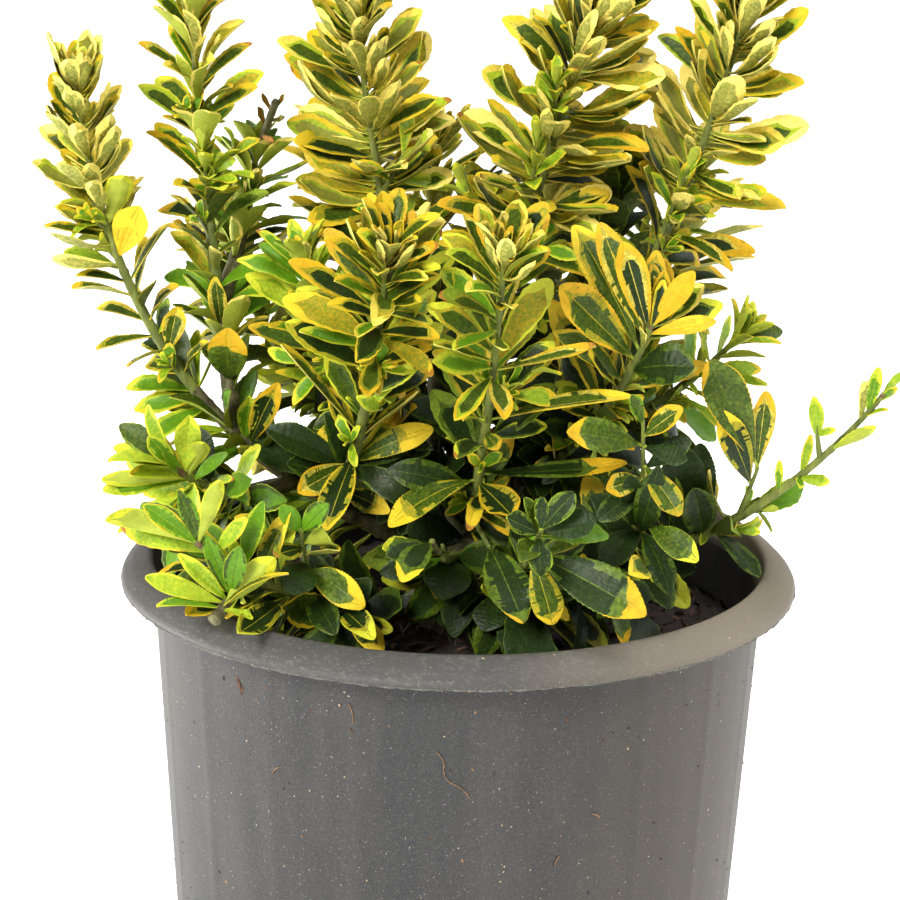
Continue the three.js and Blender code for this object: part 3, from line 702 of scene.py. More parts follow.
# Directions that the face of a placed leaf looks in
FACING = {"eye": (0, -0.85, 0.5), "up": (0, -0.35, 1), "under": (0, 0.85, 0.1)}
# A leaf hides another where points of their axes, at these shares, come close in the picture
AXIS_SHARES = np.array([0.3, 0.5, 0.7, 0.85, 1])
HIDING_REACH = 0.75
HIDING_WIDTH = 0.6
stem_paths = {shoot["name"]: (shoot["path"], shoot["index"]) for shoot in shoots}


def front_leaf(path, t, x, y, z, facing, style, wide):
    """A leaf of the table, from the words that describe it."""
    root = path.point(float(t))
    reach = np.array([x, y, z], float) - root
    direction = unit(reach)
    toward = np.array(FACING[facing])
    return {
        "root": root,
        "direction": direction,
        "normal": unit(toward - toward.dot(direction) * direction),
        "length": np.linalg.norm(reach),
        "u": 0.5,
        "style": style,
        "wide": float(wide),
    }


def add_front_leaves():
    """Adds sprigs and leaves to the growth of their shoots and returns the leaves."""
    for name, stem, t, tip in FRONT_SPRIGS:
        path, index = stem_paths[stem]
        sprig = line(path.point(t), np.array(tip, float))
        stem_paths[name] = (sprig, index)
        growth[index][0].append(sprig)
    placed = []
    for row in FRONT_LEAVES.strip().splitlines():
        stem, leaves = row.split(":")
        path, index = stem_paths[stem]
        grown = [front_leaf(path, *leaf.split()) for leaf in leaves.split(";")]
        growth[index][1].extend(grown)
        placed += grown
    return placed


def add_young_sprigs():
    draw = seeded_random(SPRIG_SEED)
    for stem, t, tip in YOUNG_SPRIGS:
        shoot = by_name[stem]
        twigs, leaves = growth[shoot["index"]]
        sprig = line(shoot["path"].point(t), np.array(tip, float))
        twigs.append(sprig)
        for i in range(YOUNG_LEAVES):
            u = i / (YOUNG_LEAVES - 1)
            turn = side_of(0, i // 2, i % 2) + spread(draw, 0.4)
            angle = mix(*YOUNG_ANGLES, u) + spread(draw, 8)
            leaf = fit_leaf(sprig, mix(YOUNG_FROM, 1, u), turn, angle, spread(draw, 20),
                            mix(*YOUNG_LENGTHS, u), 0, shoot["index"], LOOSE_MARGIN * 4)
            keep(leaf, leaves, u=0.5, young=True)


def in_picture(leaves, width):
    """Places across the picture, depth and reach of points along the axis of each leaf."""
    root, way, length = (
        np.array([leaf[key] for leaf in leaves]) for key in ("root", "direction", "length"))
    points = root[:, None] + way[:, None] * (length[:, None] * AXIS_SHARES)[..., None]
    tilt = math.radians(CAMERA_DOWN)
    back = np.array([0, -math.cos(tilt), math.sin(tilt)])
    eye = np.array(CAMERA_EYE) / MM
    offset = points - eye
    depth = -(offset @ back)
    upward = offset @ np.array([0, math.sin(tilt), math.cos(tilt)])
    place = np.stack([offset[..., 0], upward], -1) / depth[..., None] * abs(eye @ back)
    reach = np.broadcast_to((length * width)[:, None], depth.shape)
    return place.reshape(-1, 2), depth.ravel(), reach.ravel()


def drop_hiding(placed):
    """Leaves out what grows between the camera and the placed leaves."""
    widths = np.array([leaf["wide"] for leaf in placed]) / 2
    shown, shown_depth, shown_reach = in_picture(placed, widths)
    kept_ids = {id(leaf) for leaf in placed}
    for _, leaves in growth:
        others = [leaf for leaf in leaves if id(leaf) not in kept_ids]
        if not others:
            continue
        place, depth, reach = in_picture(others, LEAF_WIDTH_RATIO / 2)
        gap = np.linalg.norm(place[:, None] - shown[None], axis=-1)
        near = gap < HIDING_REACH * (reach[:, None] * HIDING_WIDTH + shown_reach[None])
        hiding = (near & (depth[:, None] < shown_depth[None])).any(1)
        hiding = hiding.reshape(len(others), -1).any(1)
        dropped = {id(leaf) for leaf, hides in zip(others, hiding) if hides}
        leaves[:] = [leaf for leaf in leaves if id(leaf) not in dropped]


# Share of the leaves of the long branch that stay below its tip
BRANCH_KEPT = 0.4
BRANCH_TIP_FROM = 0.85
# A leaf belongs to a twig within this distance; twigs that are bare beyond this share are left out
ROOT_NEAR = 0.8
BARE_TWIG = 0.3
# How much narrower a leaf is that points along y
FACING_NARROW = 0.32
# Shoots whose leaves differ from the rule's: length, breadth, lift and turn to the front
BROAD_LEAVED = {
    "far_left": (0.95, 1.2, 0.2, 0.4), "tall_left": (0.92, 1.2, 0.2, 0.5),
    "left_side": (0.9, 1.15, 0.1, 0.5), "tall_middle_left": (1.04, 1, -0.24, 0.7),
    "tall_middle_right": (1.04, 1, -0.24, 0.7), "tall_right": (1.04, 1, -0.2, 0.7),
    "behind_left": (1, 1, -0.2, 0.6), "front_left": (1, 1, -0.12, 0.4),
    "front_middle": (1, 1, -0.12, 0.4), "left_middle": (1, 1, 0, 0.4),
    "right_rosette": (1, 1, 0, 0.3), "right_small": (1, 1, 0, 0.4),
}


def thin_branch():
    """Leaves the long branch nearly bare up to its tip."""
    draw = seeded_random(BRANCH_SEED)
    leaves = growth[by_name["right_branch"]["index"]][1]
    leaves[:] = [leaf for leaf in leaves if leaf["u"] > BRANCH_TIP_FROM or draw() < BRANCH_KEPT]


def broaden_leaves():
    """Lifts and turns the leaves of some shoots; those along the view are made narrower."""
    for name, (length, broad, lift, turn) in BROAD_LEAVED.items():
        for leaf in growth[by_name[name]["index"]][1]:
            direction = unit(leaf["direction"] + UP * lift * (1 - leaf["u"] ** 5))
            normal = leaf["normal"] - np.array([0, turn, 0])
            leaf.update(
                direction=direction,
                normal=unit(normal - normal.dot(direction) * direction),
                length=leaf["length"] * length,
                broad=broad * (1 - FACING_NARROW * direction[1] ** 2),
            )


def last_leaf(path, leaves):
    """Share of a path at which its last leaf stands, or 0 where none does."""
    shares = np.linspace(0, 1, 101)
    roots = np.array([leaf["root"] for leaf in leaves])
    gaps = np.linalg.norm(path.point(shares)[:, None] - roots[None], axis=-1)
    near = gaps.min(0) < ROOT_NEAR
    return shares[gaps.argmin(0)[near]].max() if near.any() else 0


thin_branch()
broaden_leaves()
drop_hiding(add_front_leaves())
add_young_sprigs()
for twigs, leaves in growth:
    twigs[:] = [twig for twig in twigs if last_leaf(twig, leaves) > BARE_TWIG]

# Materials

TONES = {
    "cream_pale": "f5e27a", "cream": "e8ce50", "yellow": "dab828", "gold": "cfa21d",
    "amber": "96602a", "lime_edge": "c4c430", "leaf_edge": "7f9226",
    "flank_sage": "9a9438", "flank_olive": "7a841e", "flank_lime": "8ca524",
    "flank_dark": "3f5414", "sage": "787f2e", "mid": "2d450b", "dark": "152708",
    "fresh": "4f7c10", "lime": "73961a", "under_sage": "7c8436", "under_cream": "eddb6e",
    "blend": "a0951f", "under_lime": "a0a93c", "under_dark": "394a1c", "petiole": "94a036",
}
FRECKLE = "5e3b18"
WEATHERED = "68783c"
DUSTY = "86945c"


def linear(code):
    def channel(i):
        c = int(code[i:i + 2], 16) / 255
        return c / 12.92 if c <= 0.04045 else ((c + 0.055) / 1.055) ** 2.4

    return (channel(0), channel(2), channel(4), 1)


class Look:
    """A material, and the nodes that its colour and relief are made of."""

    def __init__(self, name, roughness, **sockets):
        self.material = bpy.data.materials.new(name)
        self.material.use_nodes = True
        tree = self.material.node_tree
        self.nodes, self.link = tree.nodes, tree.links.new
        self.shader = self.nodes["Principled BSDF"]
        self.feed(self.shader, Roughness=roughness, **sockets)
        self.place = self.nodes.new("ShaderNodeTexCoord").outputs["Object"]

    def feed(self, node, **sockets):
        """Gives each named socket of a node a value or the output of another node."""
        for name, value in sockets.items():
            socket = node.inputs[name.replace("_", " ")]
            if isinstance(value, bpy.types.NodeSocket):
                self.link(value, socket)
            else:
                socket.default_value = value

    def add(self, kind, **sockets):
        node = self.nodes.new("ShaderNode" + kind)
        self.feed(node, **sockets)
        return node

    def noise(self, scale, detail=3, roughness=0.55, stretch=(1, 1, 1)):
        """A noise texture in the object's own metres."""
        mapping = self.add("Mapping", Vector=self.place, Scale=stretch)
        return self.add("TexNoise", Vector=mapping.outputs["Vector"], Scale=scale, Detail=detail,
                        Roughness=roughness).outputs["Fac"]

    def ramp(self, value, *stops):
        """A colour ramp: stops are (place, colour)."""
        node = self.add("ValToRGB", Fac=value)
        elements = node.color_ramp.elements
        elements[0].position, elements[0].color = stops[0]
        elements[1].position, elements[1].color = stops[-1]
        for place, colour in stops[1:-1]:
            elements.new(place).color = colour
        return node.outputs["Color"]

    def tones(self, value, *stops):
        """A ramp of tones: stops are (place, code)."""
        return self.ramp(value, *[(place, linear(code)) for place, code in stops])

    def share(self, value, *stops):
        """A ramp of greys: stops are (place, level)."""
        return self.ramp(value, *[(place, grey(level)) for place, level in stops])

    def over(self, share, colour, code):
        """Lays a tone over a colour, by a share."""
        node = self.add("Mix")
        node.data_type = "RGBA"
        self.link(share, node.inputs["Factor"])
        self.link(colour, node.inputs[6])
        node.inputs[7].default_value = linear(code)
        return node.outputs[2]

    def rise(self, value, low, high, top):
        """A share that rises from 0 to its top between two values."""
        node = self.add("MapRange", Value=value, From_Min=low, From_Max=high, To_Max=top)
        return node.outputs["Result"]

    def product(self, first, second):
        node = self.add("Math")
        node.operation = "MULTIPLY"
        self.link(first, node.inputs[0])
        self.link(second, node.inputs[1])
        return node.outputs[0]

    def finish(self, colour, height=None, strength=0, depth=0):
        """The material with its colour and, where it has a height, its relief."""
        self.link(colour, self.shader.inputs["Base Color"])
        if height:
            node = self.add("Bump", Strength=strength, Distance=depth, Height=height)
            self.link(node.outputs["Normal"], self.shader.inputs["Normal"])
        return self.material


def grey(value):
    return (value, value, value, 1)


def shade(colour, factor):
    return tuple(min(1, channel * factor) for channel in colour[:3]) + (1,)


# The tone that shows through as fine mottling, and how much of it
MOTTLE = {
    "cream_pale": ("cream", 0.6), "cream": ("flank_sage", 0.5), "yellow": ("flank_lime", 0.35),
    "gold": ("flank_olive", 0.35), "lime_edge": ("flank_lime", 0.5), "leaf_edge": ("mid", 0.5),
    "flank_sage": ("cream", 0.75), "flank_olive": ("gold", 0.65), "flank_lime": ("lime_edge", 0.6),
    "flank_dark": ("leaf_edge", 0.5), "sage": ("flank_sage", 0.6), "mid": ("flank_olive", 0.35),
    "dark": ("mid", 0.4), "fresh": ("lime", 0.5), "lime": ("lime_edge", 0.4),
    "under_sage": ("under_cream", 0.4), "under_cream": ("under_sage", 0.35),
    "under_lime": ("lime", 0.35), "under_dark": ("sage", 0.5), "petiole": ("under_lime", 0.5),
    "amber": ("gold", 0.4), "blend": ("gold", 0.85),
}
GLOSSY = ("dark", "mid", "fresh", "lime", "flank_dark")


def leaf_material(name, code):
    """Leathery leaf: mottled with a near tone, freckled here and there, with a fine grain."""
    look = Look("leaf_" + name, 0.42 if name in GLOSSY else 0.58, Specular_IOR_Level=0.2)
    base = linear(code)
    colour = look.ramp(look.noise(200), (0.3, shade(base, 0.8)), (0.5, base),
                       (0.72, shade(base, 1.14)))
    other, most = MOTTLE[name]
    mottling = look.share(look.noise(950, 4, 0.65), (0.42, 0), (0.66, most))
    colour = look.over(mottling, colour, TONES[other])
    patches = look.share(look.noise(60, 2), (0.56, 0), (0.68, 1))
    spots = look.share(look.noise(1300, 1, 0.4), (0.66, 0), (0.7, 0.75))
    colour = look.over(look.product(patches, spots), colour, FRECKLE)
    if name in GLOSSY:
        scuffs = look.share(look.noise(110, 4, 0.7), (0.56, 0), (0.76, 0.12))
        colour = look.over(scuffs, colour, WEATHERED)
        dust = look.share(look.noise(2300, 2, 0.6), (0.62, 0), (0.72, 0.2))
        colour = look.over(dust, colour, DUSTY)
    return look.finish(colour, look.noise(1100), 0.5, 0.0004)


leaf_materials = {name: leaf_material(name, code) for name, code in TONES.items()}
leaf_slots = {name: i for i, name in enumerate(TONES)}


def joined_mesh(name, points, faces, kinds, materials, sharp=None, smooth=True):
    """One mesh object: points in millimetres, faces, and one material index or one for each."""
    mesh = bpy.data.meshes.new(name)
    mesh.vertices.add(len(points))
    mesh.vertices.foreach_set("co", (np.asarray(points, np.float32) * MM).ravel())
    if isinstance(faces, list):
        sizes = np.array([len(face) for face in faces])
        loops = np.concatenate([np.asarray(face) for face in faces])
    else:
        sizes = np.full(len(faces), faces.shape[1])
        loops = faces.ravel()
    mesh.loops.add(len(loops))
    mesh.loops.foreach_set("vertex_index", loops.astype(np.int32))
    mesh.polygons.add(len(sizes))
    mesh.polygons.foreach_set("loop_start", (np.cumsum(sizes) - sizes).astype(np.int32))
    mesh.update(calc_edges=True)
    mesh.validate()
    for material in materials:
        mesh.materials.append(material)
    mesh.polygons.foreach_set("material_index", np.full(len(sizes), kinds, np.int32))
    mesh.polygons.foreach_set("use_smooth", np.full(len(sizes), smooth))
    if sharp is not None:
        ends = np.zeros(len(mesh.edges) * 2, np.int32)
        mesh.edges.foreach_get("vertices", ends)
        mark = mesh.attributes.new("sharp_edge", "BOOLEAN", "EDGE")
        mark.data.foreach_set("value", np.asarray(sharp)[ends].reshape(-1, 2).all(1))
    mesh.update()
    piece = bpy.data.objects.new(name, mesh)
    bpy.context.scene.collection.objects.link(piece)
    return piece


def strip_quads(index):
    """Quads between the rows of a grid of point numbers whose columns close into a ring."""
    nxt = np.roll(index, -1, axis=1)
    return np.stack([index[:-1], nxt[:-1], nxt[1:], index[1:]], -1).reshape(-1, 4)


# Leaf meshes

# Tones to choose from for the margin, the flank beside it and the centre, and the two of the
# underside; share of the half width that is green; where the green ends along the leaf; width by
# length; fold in degrees; arch; bluntness of the tip
STYLE_FIELDS = "margin flank centre under green end wide fold arch upper".split()


def style(*row):
    """The tones, as words, and the numbers of a style by their names."""
    values = (value.split() if isinstance(value, str) else value for value in row)
    return dict(zip(STYLE_FIELDS, values))


STYLES = {
    "cream": style("cream_pale cream yellow", "flank_olive flank_lime", "sage mid flank_olive",
                   "under_sage under_cream", 0.7, 0.96, 0.38, 26, -0.05, 0.48),
    "leafy": style("yellow lime_edge lime_edge cream", "flank_lime flank_olive", "mid flank_olive fresh",
                   "under_lime under_cream", 0.84, 0.96, 0.33, 24, 0.02, 0.6),
    "gold": style("yellow gold gold", "flank_olive flank_olive flank_sage", "mid dark mid",
                  "under_sage under_cream", 0.85, 0.94, 0.31, 25, 0.03, 0.6),
    "edged": style("yellow gold", "flank_olive flank_dark", "mid mid",
                   "under_dark under_cream", 0.84, 1.05, 0.34, 22, 0.04, 0.6),
    "green": style("yellow lime_edge leaf_edge", "flank_dark flank_olive", "dark dark mid",
                   "under_dark flank_olive", 0.88, 0.92, 0.35, 16, 0.07, 0.64),
    "dark": style("flank_dark mid", "mid dark", "dark dark",
                  "under_dark leaf_edge", 0.95, 1.2, 0.4, 12, 0.09, 0.66),
    "tipped": style("yellow gold", "flank_dark flank_olive", "dark dark mid",
                    "under_dark flank_olive", 0.93, 0.84, 0.38, 12, 0.09, 0.66),
    "sprout": style("leaf_edge flank_lime", "mid flank_dark", "mid dark",
                    "under_dark under_lime", 0.92, 1.2, 0.38, 20, 0.05, 0.7),
    "withered": style("amber sage", "sage amber", "amber sage",
                      "amber under_dark", 0.8, 1.2, 0.3, 40, -0.2, 0.5),
    "fresh": style("flank_lime leaf_edge", "fresh mid", "mid fresh",
                   "under_lime flank_lime", 0.93, 1.2, 0.38, 20, 0.05, 0.7),
    "lime": style("lime_edge lime_edge yellow", "flank_lime lime", "lime fresh flank_lime",
                  "under_lime lime_edge", 0.88, 0.97, 0.3, 22, 0.02, 0.68),
    "young": style("lime_edge yellow", "flank_lime flank_lime", "fresh lime",
                   "under_lime lime_edge", 0.8, 0.94, 0.4, 24, 0.06, 0.72),
    "yellow": style("yellow gold", "gold yellow", "flank_olive gold",
                    "under_cream yellow", 0.5, 0.8, 0.4, 18, 0.05, 0.66),
}
STYLES["dipped"] = {**STYLES["tipped"], "end": 0.93}
# Kinds of face, in the order of a leaf's row of colours
MARGIN, FLANK, CENTRE, UNDER, UNDER_EDGE, PETIOLE, BURNT, MIDRIB, BLEND = range(9)
# Margins that have a blend between them and the green
WARM = ("cream_pale", "cream", "yellow", "gold")
# Shoots of the tone gold with many light-edged leaves, and green ones with fresh tips
LEAFY = ("front_left", "front_middle", "tall_left")
FRESH_TIPS = ("low_front", "right_front", "low_front_left")
# Where the rows of points stand along a blade
CLOSE_ROWS = np.concatenate([[0, 0.05, 0.1], np.linspace(0.14, 0.94, 38), [0.965, 0.985, 1]])
FINE_ROWS = np.concatenate([[0, 0.06, 0.12], np.linspace(0.18, 0.91, 12), [0.95, 0.985, 1]])
MEDIUM_ROWS = np.concatenate([[0, 0.08, 0.16], np.linspace(0.25, 0.9, 9), [0.96, 1]])
COARSE_ROWS = np.array([0, 0.1, 0.22, 0.38, 0.54, 0.7, 0.83, 0.93, 1.0])
PETIOLE_SHARE = 0.07
PETIOLE_RADIUS = 0.45
LEAF_THICKNESS = 0.24
# Which places of the ring round a blade are its two edges
SECTION_EDGES = {"close": [0, 9], "fine": [0, 6], "coarse": [0, 4]}
# How much the values of the leaves of one style differ
JITTER = {"green": 0.07, "end": 0.05, "wide": 0.07, "fold": 5, "arch": 0.03, "hook": 0.06,
          "twist": 14, "wave": 0.05}
HOOK = -0.02
CREAM_ARCH = 0.07
# Powers of the outline at the foot, and what is added to the style's at the tip
FOOT_POWER = (1, 1.3)
TIP_POWER = (0.04, 0.2)
TEETH_FROM = 0.15
TOOTH = {"close": 0.022, "fine": 0.035, "coarse": 0.05}
JAG = {"close": 0.018, "fine": 0.05, "coarse": 0.05}
# How far the rows lean forward away from the midrib, and where they begin to stand upright
SLANT = 0.28
SLANT_TO = 0.7
SLANT_FADE = 0.25
# The green: its share at the foot, where its own share is reached, how much it closes at its
# end, over what length with a pointed and with a blunt end, and its least and greatest share
GREEN_FOOT = 0.93
GREEN_FULL = 0.35
GREEN_CLOSED = 0.93
GREEN_CLOSING = (0.24, 0.15)
GREEN_RANGE = (0.08, 0.96)
CENTRE_SHARE = 0.68
CENTRE_LEAST = 0.045
FLANK_LEAST = 0.03
END_JITTER = 0.03
# Waves of the green's edge: their height, how many, and the finer lobes on them
GREEN_WAVE = 0.07
GREEN_WAVES = (3, 10)
GREEN_LOBES = 0.05
LOBES_BY_WAVES = 2.7
GREEN_TO_EDGE = 0.95
ONE_SIDED = 0.08
# How many faces along a leaf change their kind together, and beyond which chance they do
RUN = 6
BLEND_TO_FLANK = 0.12
BLEND_TO_MARGIN = 0.8
FLANK_TO_CENTRE = 0.72
BURNT_TIPS = 0.05
BURNT_FROM = 0.93
# Before the end of the green, from where the centre and the plain flank of blunt leaves stop
CENTRE_STOPS = 0.1
PLAIN_STOPS = 0.14
PETIOLE_COLOURED = 1.6
BLEND_WIDTH = 0.12
BLEND_SHARE = 0.45
RIB_SHARE = 0.03
RIB_SUNK = 0.05
RIB_TO = 0.04
KEEL = 0.22
KEEL_TO = 0.01
FOLD_FULL = 0.3
FOLD_ROUNDING = 0.02
CAMBER = 0.16
EDGE_WAVES = 14
VEIN_RELIEF = 0.016
# Blades are fine in front of this y and from this length on, and medium from the last length on
BACK_FROM = 25
FINE_FROM = 16
MEDIUM_FROM = 10.5


def style_of(shoot, leaf, draw):
    """The style set for a leaf, or one by the odds of its age, its place and its shoot."""
    chance = draw()
    if "style" in leaf:
        return leaf["style"]
    u, tone, name = leaf["u"], shoot["tone"], shoot["name"]
    if leaf.get("old"):
        odds = "dark 0.75 green 0.92 tipped"
    elif leaf.get("light") or name == "left_side":
        odds = "fresh 0.5 lime 0.78 leafy"
    elif leaf.get("young"):
        odds = "young 0.3 fresh" if tone == "green" else "young"
    elif tone == "cream":
        odds = "cream 0.88 gold" if u > 0.35 else "gold 0.6 lime 0.8 green"
    elif tone == "gold" and u > 0.85:
        odds = "cream 0.5 gold"
    elif tone == "gold" and u > 0.3:
        odds = "leafy 0.66 gold 0.84 green" if name in LEAFY else "gold 0.76 green 0.93 tipped"
    elif tone == "gold":
        odds = "green 0.55 gold 0.8 tipped"
    elif tone == "green":
        fresh = u > 0.75 and name in FRESH_TIPS
        odds = "fresh" if fresh else "dark 0.62 tipped 0.78 green"
    else:
        odds = "fresh 0.5 green" if u < 0.2 else "lime 0.8 gold 0.88 fresh"
    styles, limits = odds.split()[::2], odds.split()[1::2]
    allowed = (style for style, limit in zip(styles, limits) if chance < float(limit))
    return next(allowed, styles[-1])


def colour_row(style, draw):
    """The material slot of each kind of face of one leaf."""
    tones = STYLES[style]
    margin, flank, centre = (
        tones[part][int(draw() * len(tones[part]))] for part in ("margin", "flank", "centre"))
    blend = "blend" if margin in WARM else flank
    names = (margin, flank, centre, *tones["under"], "petiole", "amber", flank, blend)
    return [leaf_slots[name] for name in names]


def leaf_values(leaves, rng):
    """Arrays of what shapes each leaf."""
    count = len(leaves)
    styles = [STYLES[leaf["style"]] for leaf in leaves]

    def own(key):
        return np.array([style[key] for style in styles])

    def jitter(key):
        return rng.normal(0, JITTER[key], count)

    def has_style(*names):
        return np.array([leaf["style"] in names for leaf in leaves])

    widths = [leaf.get("wide", style["wide"] * leaf.get("broad", 1))
              for leaf, style in zip(leaves, styles)]
    carried = ("root", "direction", "normal", "length", "u", "colours")
    values = {key: np.array([leaf[key] for leaf in leaves]) for key in carried}
    values.update(
        blunt=has_style("tipped", "dipped"),
        edged=has_style("edged"),
        green=own("green") + jitter("green"),
        end=own("end") + jitter("end"),
        wide=np.array(widths) * (1 + jitter("wide")),
        fold=np.radians(own("fold") + jitter("fold")),
        arch=own("arch") + jitter("arch") - CREAM_ARCH * values["u"] * has_style("cream"),
        hook=HOOK + jitter("hook"),
        twist=np.radians(jitter("twist")),
        wave=np.abs(jitter("wave")),
        phase=rng.uniform(0, 2 * math.pi, (count, 2)),
        lower=rng.uniform(*FOOT_POWER, count),
        upper=own("upper") + rng.uniform(*TIP_POWER, count),
    )
    return values


def half_width(v, rows, tooth):
    """Half the width of the blades at each row, with teeth, down to the petiole."""
    x = np.clip((rows - PETIOLE_SHARE) / (1 - PETIOLE_SHARE), 0, 1)[None]
    lower, upper = v["lower"][:, None], v["upper"][:, None]
    peak = lower / (lower + upper)
    full = x ** lower * (1 - x) ** upper / (peak ** lower * (1 - peak) ** upper)
    half = (v["wide"] * v["length"] / 2)[:, None] * full
    teeth = 1 + tooth * np.where(np.arange(len(rows)) % 2, 1, -1) * (x[0] > TEETH_FROM)
    return half * teeth + PETIOLE_RADIUS * (1 - full)


def green_edges(v, s, jag_size, rng):
    """Shares of the left and the right half width at which the green and its centre end."""
    count, steps = len(v["green"]), s.shape[1]
    jag = rng.normal(0, 1, (2, 2, count, steps))
    jag = jag_size * (jag + np.roll(jag, 1, -1)) / 2
    foot = mix(GREEN_FOOT, v["green"][:, None], smooth_step(s / GREEN_FULL))
    ends = v["end"][:, None] + rng.normal(0, END_JITTER, (2, count, 1))
    closing = mix(*GREEN_CLOSING, v["blunt"][:, None])
    green = foot * (1 - GREEN_CLOSED * smooth_step((s - ends + closing) / closing))
    drift = rng.uniform(0, 2 * math.pi, (2, count, 1))
    pitch = rng.uniform(*GREEN_WAVES, (2, count, 1))
    lobes = GREEN_LOBES * np.sin(LOBES_BY_WAVES * pitch * s + 2 * drift)
    one_sided = (rng.random((count, 2)) < ONE_SIDED).T[..., None]
    one_sided[0] |= v["edged"][:, None]
    outer = green + jag[:, 0] + GREEN_WAVE * np.sin(pitch * s + drift) + lobes
    outer = np.clip(np.where(one_sided, GREEN_TO_EDGE, outer), *GREEN_RANGE)
    inner = outer * CENTRE_SHARE + jag[:, 1] - lobes
    return outer, np.clip(inner, CENTRE_LEAST, outer - FLANK_LEAST)


def cross_section(detail, outer, inner):
    """The ring of places across a blade, from its left edge over the top and back below it.

    For each place: its share of the half width, 1 above, 0 at the edge or -1 below, and the kind
    of the face after it. Last, which two places are the blade's sharp edges.
    """
    (left, right), (left_in, right_in) = outer, inner
    one, zero = np.ones(left.shape), np.zeros(left.shape)
    below = [UNDER_EDGE, UNDER, UNDER, UNDER_EDGE]
    if detail == "close":
        rim_left, rim_right = (
            side + np.minimum(BLEND_SHARE * (1 - side), BLEND_WIDTH) for side in (left, right))
        rib = np.full(left.shape, RIB_SHARE)
        shares = [-one, -rim_left, -left, -left_in, -rib, rib, right_in, right, rim_right, one,
                  right, zero, -left]
        kinds = [MARGIN, BLEND, FLANK, CENTRE, MIDRIB, CENTRE, FLANK, BLEND, MARGIN, *below]
    elif detail == "fine":
        shares = [-one, -left, -left_in, zero, right_in, right, one, right, zero, -left]
        kinds = [MARGIN, FLANK, CENTRE, CENTRE, FLANK, MARGIN, *below]
    else:
        shares = [-one, -left, zero, right, one, zero]
        kinds = [MARGIN, CENTRE, CENTRE, MARGIN, UNDER, UNDER]
    edges = SECTION_EDGES[detail]
    above = [0] + [1] * (edges[1] - 1) + [0] + [-1] * (len(shares) - edges[1] - 1)
    return np.stack(shares, -1), np.array(above), kinds, edges


def blade_height(v, s, half, q, above, ribbed):
    """Height over the blade's own plane: fold, camber, waves, veins, thickness and midrib."""
    size = np.abs(q)
    fold = v["fold"][:, None, None] * smooth_step(s / FOLD_FULL)[..., None]
    rise = np.tan(fold) * (np.sqrt(size ** 2 + FOLD_ROUNDING) - math.sqrt(FOLD_ROUNDING))
    rise += CAMBER * size * (1 - size)
    phase = np.take_along_axis(v["phase"][:, None], (q > 0).astype(int), -1)
    rise += v["wave"][:, None, None] * size ** 2 * np.sin(s[..., None] * EDGE_WAVES + phase)
    vein = np.cos(np.arange(s.shape[1]) * math.pi * (0.5 if ribbed else 1))[None, :, None]
    rise += VEIN_RELIEF * vein * size * (1 - size) * 4 * (above != 0)
    thick = LEAF_THICKNESS * (0.55 + 0.45 * (1 - s[..., None]))
    bulge = above * thick * np.sqrt(np.clip(1 - size ** 2, 0, 1))
    height = rise * half * np.cos(fold) + bulge
    height -= np.where((above < 0) & (size < KEEL_TO), KEEL, 0)
    height -= np.where((above > 0) & (size < RIB_TO), RIB_SUNK, 0)
    return height, q * half * np.cos(fold)


def blade_points(v, s, half, q, above, ribbed):
    """Points of the blades, which arch, hook and twist along their axes."""
    height, sideways = blade_height(v, s, half, q, above, ribbed)
    length = v["length"][:, None]
    bend = 4 * v["arch"][:, None] * s * (1 - s) + v["hook"][:, None] * s ** 4
    slope = 4 * v["arch"][:, None] * (1 - 2 * s) + 4 * v["hook"][:, None] * s ** 3
    direction, normal = v["direction"][:, None], v["normal"][:, None]
    across = np.cross(v["normal"], v["direction"])[:, None]
    centre = (v["root"][:, None] + direction * (length * s)[..., None]
              + normal * (length * bend)[..., None])
    along = unit(direction + normal * slope[..., None])
    lift = np.cross(along, across)
    turn = (v["twist"][:, None] * (s - 0.2))[..., None]
    across, lift = (across * np.cos(turn) + lift * np.sin(turn),
                    lift * np.cos(turn) - across * np.sin(turn))
    upright = smooth_step((s[..., None] - SLANT_TO) / SLANT_FADE)
    forward = SLANT * np.abs(q) * half * (1 - upright)
    return (centre[:, :, None] + across[:, :, None] * sideways[..., None]
            + lift[:, :, None] * height[..., None] + along[:, :, None] * forward[..., None])


def blade_triangles(index, size):
    """Two triangles for each face, split by a line that runs forward and outward."""
    nxt = np.roll(index, -1, axis=2)
    near, far, near_next, far_next = index[:, :-1], index[:, 1:], nxt[:, :-1], nxt[:, 1:]
    outward = (np.roll(size, -1, 2) > size)[:, :1, :, None]
    behind = np.where(outward, np.stack([near, far, near_next], -1),
                      np.stack([near, far_next, near_next], -1))
    ahead = np.where(outward, np.stack([far, far_next, near_next], -1),
                     np.stack([near, far, far_next], -1))
    return np.stack([behind, ahead], 3).reshape(-1, 3)


